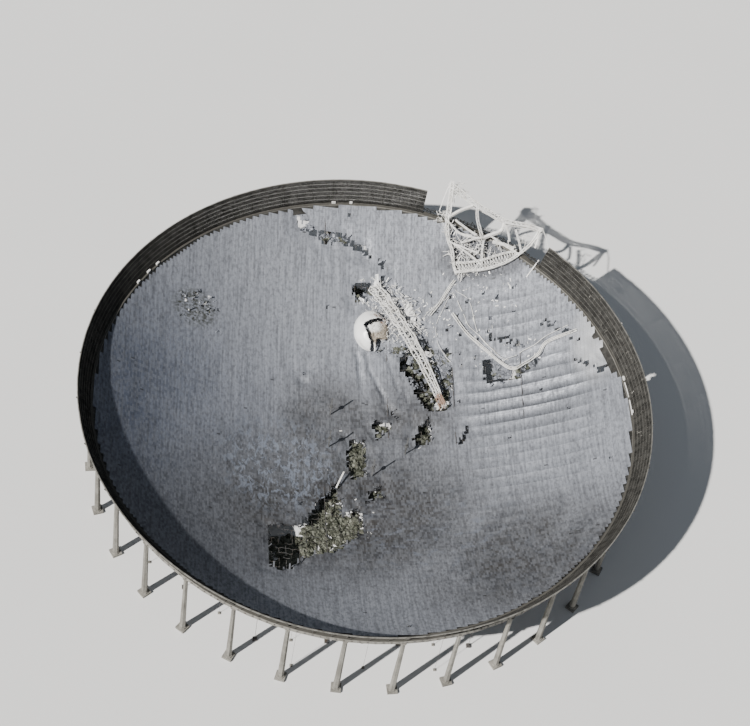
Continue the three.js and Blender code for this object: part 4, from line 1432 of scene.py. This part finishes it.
def dome_ribs():
    """Ribs and rings under the dome's skin, and bent members beside it."""
    rng = random.Random(37)
    b = Builder()
    for bearing in range(28, 330, 18):
        b.line(standing([dome_point(bearing, rise, RIB_INSET) for rise in range(-6, 84, 8)]), 0.24)
    for rise in (5, 25, 45, 65):
        b.line(standing([dome_point(bearing, rise, RIB_INSET) for bearing in range(40, 330, 10)]), 0.2)
    for _ in range(90):
        start = bowl_point(rng.uniform(10, 24), rng.uniform(74, 98), rng.uniform(0.4, 4.5))
        b.bar(start, start + jitter(rng, 3.0), rng.uniform(0.14, 0.32))
    b.piece("dome_ribs", WHITE_STEEL)


# Crumpled white sheets: place on plan, width, length, lean in radians, turn in degrees, and seed
WHITE_SHEETS = [
    (12.4, 105, 3.8, 11, 0.9, 2, 1.0), (33.0, 90.5, 7.5, 8.0, 0.4, 12, 2.0),
    (33.5, 84.0, 5.0, 6.5, 0.5, -16, 3.0), (25.5, 99, 4.5, 4.5, 0.4, 60, 4.0),
    (18.5, 96.5, 4.2, 5.0, 0.7, 15, 5.0), (5.5, 99.0, 3.6, 4.0, 0.5, 70, 6.0),
]


def crumpled_sheet(b, x, y, width, length, lean, turn, seed):
    rows = []
    for j in range(9):
        row = []
        taper = 1 - j / 16
        for i in range(7):
            u, v = (i / 6 - 0.5 * taper) * width * taper, j / 8 * length
            bend = 0.9 * swing(i * 0.5, j * 0.4, seed)
            local = Vector((u, v * cos(lean), v * sin(lean) + bend))
            row.append(bowl_point(x, y, 0.4) + heading(turn) @ local)
        rows.append(row)
    b.sheet(rows, 0.15)


def white_sheets():
    b = Builder()
    for sheet in WHITE_SHEETS:
        crumpled_sheet(b, *sheet)
    b.piece("white_sheets", DOME_SKIN)


# Fallen catwalk and bent members

CATWALK_LINE = [
    (58.5, 90), (68, 76.5), (78.5, 64), (91.5, 50.5), (100, 52.5), (107.5, 56), (113, 62.5), (129, 65),
]
TAIL_LINE = [(60, 109.5), (57.5, 106), (55, 102), (50.5, 96), (45.5, 90.5)]
CATWALK_SECTION = [(-0.6, 0), (0.6, 0), (0.6, 1.0), (-0.6, 1.0)]


def lying_path(points, steps, above, wander, seed):
    path = []
    for k in range(steps + 1):
        flat = spline(points, k / steps)
        shift = noise_vector(Vector((k * 0.21, seed, 0))) * wander
        path.append(bowl_point(flat.x + shift.x, flat.y + shift.y, above + 0.2 * abs(shift.z)))
    return path


def catwalk(name, node, points, steps, seed):
    """A narrow bridge of two side trusses and rungs, twisted along its way."""
    rng = random.Random(seed)
    b = Builder()
    path = lying_path(points, steps, 0.35, 0.5, seed)
    lines = [[], [], [], []]
    for k, place in enumerate(path):
        ahead = ahead_of(path, k).normalized()
        side = ahead.cross(UPRIGHT).normalized()
        rise = side.cross(ahead)
        twist = Matrix.Rotation(0.5 * sin(k * 0.23), 3, ahead)
        for line, (x, z) in zip(lines, CATWALK_SECTION):
            line.append(place + twist @ (side * x + rise * z))
    for line in lines:
        b.line(line, 0.32)
    for near, far in ((0, 1), (1, 2), (3, 0)):
        lattice(b, lines[near], lines[far], 0.14, rng, 0.04, 0.2)
    b.piece(name, WHITE_STEEL, [node])


BENT_MEMBERS = [
    [(59, 103), (50, 96), (40, 88), (30, 84)], [(60, 102), (66, 88), (74, 74), (84, 62)],
    [(57, 100), (48, 84), (50, 70), (57, 60)], [(62, 104), (70, 95), (73, 80), (80, 68), (92, 56)],
    [(88, 56), (99, 60), (110, 66), (124, 70)],
]


def bent_members():
    """Single steel members that lie in kinked lines between the larger pieces."""
    rng = random.Random(41)
    b = Builder()
    for k, route in enumerate(BENT_MEMBERS):
        path = lying_path(route, 22, 0.3, 2.4, 20.0 + k)
        start = 0
        while start < len(path) - 1:
            end = min(len(path) - 1, start + rng.randint(2, 6))
            b.line(path[start:end + 1], rng.uniform(0.18, 0.34))
            start = end + (1 if rng.random() < 0.4 else 0)
    b.piece("bent_members", WHITE_STEEL)


# Target masts

MAST_FEET = [(-15, 25.5), (-16.3, 2.7), (8.5, -16.6), (28.4, -1.0)]
MAST_HEIGHT = 16.0
MAST_CELLS = 14
DRUM_RADIUS = 1.1
DRUM_RINGS = [(-0.6, 0.9), (0.0, DRUM_RADIUS), (0.6, 0.9)]
DRUM_BAR = 0.24
GUY_REACH = 5.2
LEG_WIDTH = 0.26
BRACE_WIDTH = 0.08
FALLEN_MAST = ((-12.5, -27.5), (-8.0, -17.5))


def lattice_mast(b, foot, head, width):
    """A slim three-legged lattice from foot to head."""
    along = head - foot
    turn = along.to_track_quat("Z", "Y")
    legs = []
    for k in range(3):
        offset = turn @ polar(width, 120 * k, 0)
        legs.append([foot + along * (j / MAST_CELLS) + offset for j in range(MAST_CELLS + 1)])
    for leg, following in zip(legs, legs[1:] + legs[:1]):
        b.bar(leg[0], leg[-1], LEG_WIDTH)
        for j in range(MAST_CELLS):
            b.bar(leg[j], following[j + 1], BRACE_WIDTH, 3)
            b.bar(leg[j], following[j], BRACE_WIDTH, 3)


def target_drum(b, middle):
    """A cage of rings, spokes and uprights about the middle of a mast."""
    for rise, reach in DRUM_RINGS:
        b.line([middle + polar(reach, 45 * k, rise) for k in range(9)], DRUM_BAR)
    for k in range(8):
        b.bar(middle, middle + polar(DRUM_RADIUS, 45 * k, 0), DRUM_BAR)
        b.bar(middle + polar(0.9, 45 * k, -0.6), middle + polar(0.9, 45 * k, 0.6), DRUM_BAR)


def masts():
    for number, (x, y) in enumerate(MAST_FEET):
        b = Builder()
        foot, head = bowl_point(x, y, -0.2), bowl_point(x, y, MAST_HEIGHT)
        lattice_mast(b, foot, head, 0.32)
        target_drum(b, foot.lerp(head, 0.5))
        for degrees in (50, 170, 290):
            away = polar(GUY_REACH, degrees, 0)
            b.bar(bowl_point(x + away.x, y + away.y, 0.0), foot.lerp(head, 0.55), 0.04, 3)
        b.piece(f"mast_{number + 1}", GREY_STEEL, [f"target_mast_{number + 1}"])
    b = Builder()
    foot, head = (bowl_point(x, y, above) for (x, y), above in zip(FALLEN_MAST, (0.6, 3.5)))
    lattice_mast(b, foot, head, 0.4)
    b.bar(foot, head, 0.3)
    b.piece("fallen_mast", WHITE_STEEL)


# Finishes of the CAD pieces that stay

FINISHES = {"rim_beam": CONCRETE, "main_cable": CABLES}


def finish_cad_nodes():
    for name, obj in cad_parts.items():
        for start, (material, _) in FINISHES.items():
            if name.startswith(start):
                obj.data.materials.clear()
                obj.data.materials.append(material)


# Camera, floor and lights

IMAGE_WIDTH = 750
IMAGE_HEIGHT = 726
SENSOR = 36.0
FOCAL_PIXELS = 1870.4
PRINCIPAL = (347.96, 397.91)
CAMERA_ELEVATION = radians(51.59)
CAMERA_BEARING = radians(-9.48)
CAMERA_ROLL = radians(10.08)
CAMERA_DISTANCE = 1053.4
CAMERA_TARGET = Vector((-10.07, 2.09, RIM_TOP - RIM_UPSTAND))


def camera():
    data = bpy.data.cameras.new("camera")
    data.sensor_fit = "HORIZONTAL"
    data.sensor_width = SENSOR
    data.lens = SENSOR * FOCAL_PIXELS / IMAGE_WIDTH
    data.shift_x = (IMAGE_WIDTH / 2 - PRINCIPAL[0]) / IMAGE_WIDTH
    data.shift_y = (PRINCIPAL[1] - IMAGE_HEIGHT / 2) / IMAGE_WIDTH
    data.clip_end = 1000.0
    flat, rise = cos(CAMERA_ELEVATION), sin(CAMERA_ELEVATION)
    back = Vector((sin(CAMERA_BEARING) * flat, -cos(CAMERA_BEARING) * flat, rise))
    level = Vector((cos(CAMERA_BEARING), sin(CAMERA_BEARING), 0))
    upright = back.cross(level)
    right = level * cos(CAMERA_ROLL) + upright * sin(CAMERA_ROLL)
    up = upright * cos(CAMERA_ROLL) - level * sin(CAMERA_ROLL)
    turn = Matrix((right, up, back)).transposed().to_4x4()
    obj = bpy.data.objects.new("camera", data)
    obj.matrix_world = Matrix.Translation((CAMERA_TARGET + back * CAMERA_DISTANCE) * SCALE) @ turn
    bpy.context.scene.collection.objects.link(obj)
    bpy.context.scene.camera = obj


FLOOR_REACH = 4000.0
FLOOR_LEVEL = -0.002  # in metres of the model, just below the footings


def floor():
    size = FLOOR_REACH * SCALE
    mesh = bpy.data.meshes.new("floor")
    corners = [(-size, -size, 0), (size, -size, 0), (size, size, 0), (-size, size, 0)]
    mesh.from_pydata(corners, [], [(0, 1, 2, 3)])
    mesh.materials.append(floor_material())
    obj = bpy.data.objects.new("floor", mesh)
    obj.location.z = FLOOR_LEVEL
    bpy.context.scene.collection.objects.link(obj)


def lights():
    world = bpy.data.worlds.new("studio")
    world.use_nodes = True
    sky = world.node_tree.nodes["Background"]
    sky.inputs["Color"].default_value = (0.78, 0.87, 1.0, 1.0)
    sky.inputs["Strength"].default_value = 0.2
    bpy.context.scene.world = world
    for name, bearing, rise, strength, spread, colour in (
        ("key", 218.0, 41.0, 8.0, 1.0, (1.0, 0.975, 0.94)),
        ("fill", 40.0, 60.0, 0.05, 40.0, (0.9, 0.95, 1.0)),
    ):
        data = bpy.data.lights.new(name, "SUN")
        data.energy = strength
        data.angle = radians(spread)
        data.color = colour
        obj = bpy.data.objects.new(name, data)
        toward = polar(cos(radians(rise)), bearing, sin(radians(rise)))
        obj.rotation_euler = toward.to_track_quat("Z", "Y").to_euler()
        bpy.context.scene.collection.objects.link(obj)


camera()
floor()
lights()
for row in ("south", "middle", "north"):
    for column in ("west", "centre", "east"):
        reflector_field(row, column)
hanging_panels()
scattered_sheets()
heaps()
caught_panels()
cable_net()
purlins()
tie_downs()
for number in range(SCREEN_SEGMENTS):
    screen_segment(number)
screen_braces()
bent_rails()
crushed_screen()
anchor_plates()
rim_boxes()
edge_shade_sheet()
pier_details()
platform_sides()
platform_inside()
platform_loose()
platform_track()
arm()
dome()
dome_ribs()
white_sheets()
catwalk("catwalk_lattice", "fallen_catwalk", CATWALK_LINE, 60, 1)
catwalk("catwalk_tail_lattice", "fallen_catwalk_tail", TAIL_LINE, 16, 2)
bent_members()
masts()
finish_cad_nodes()
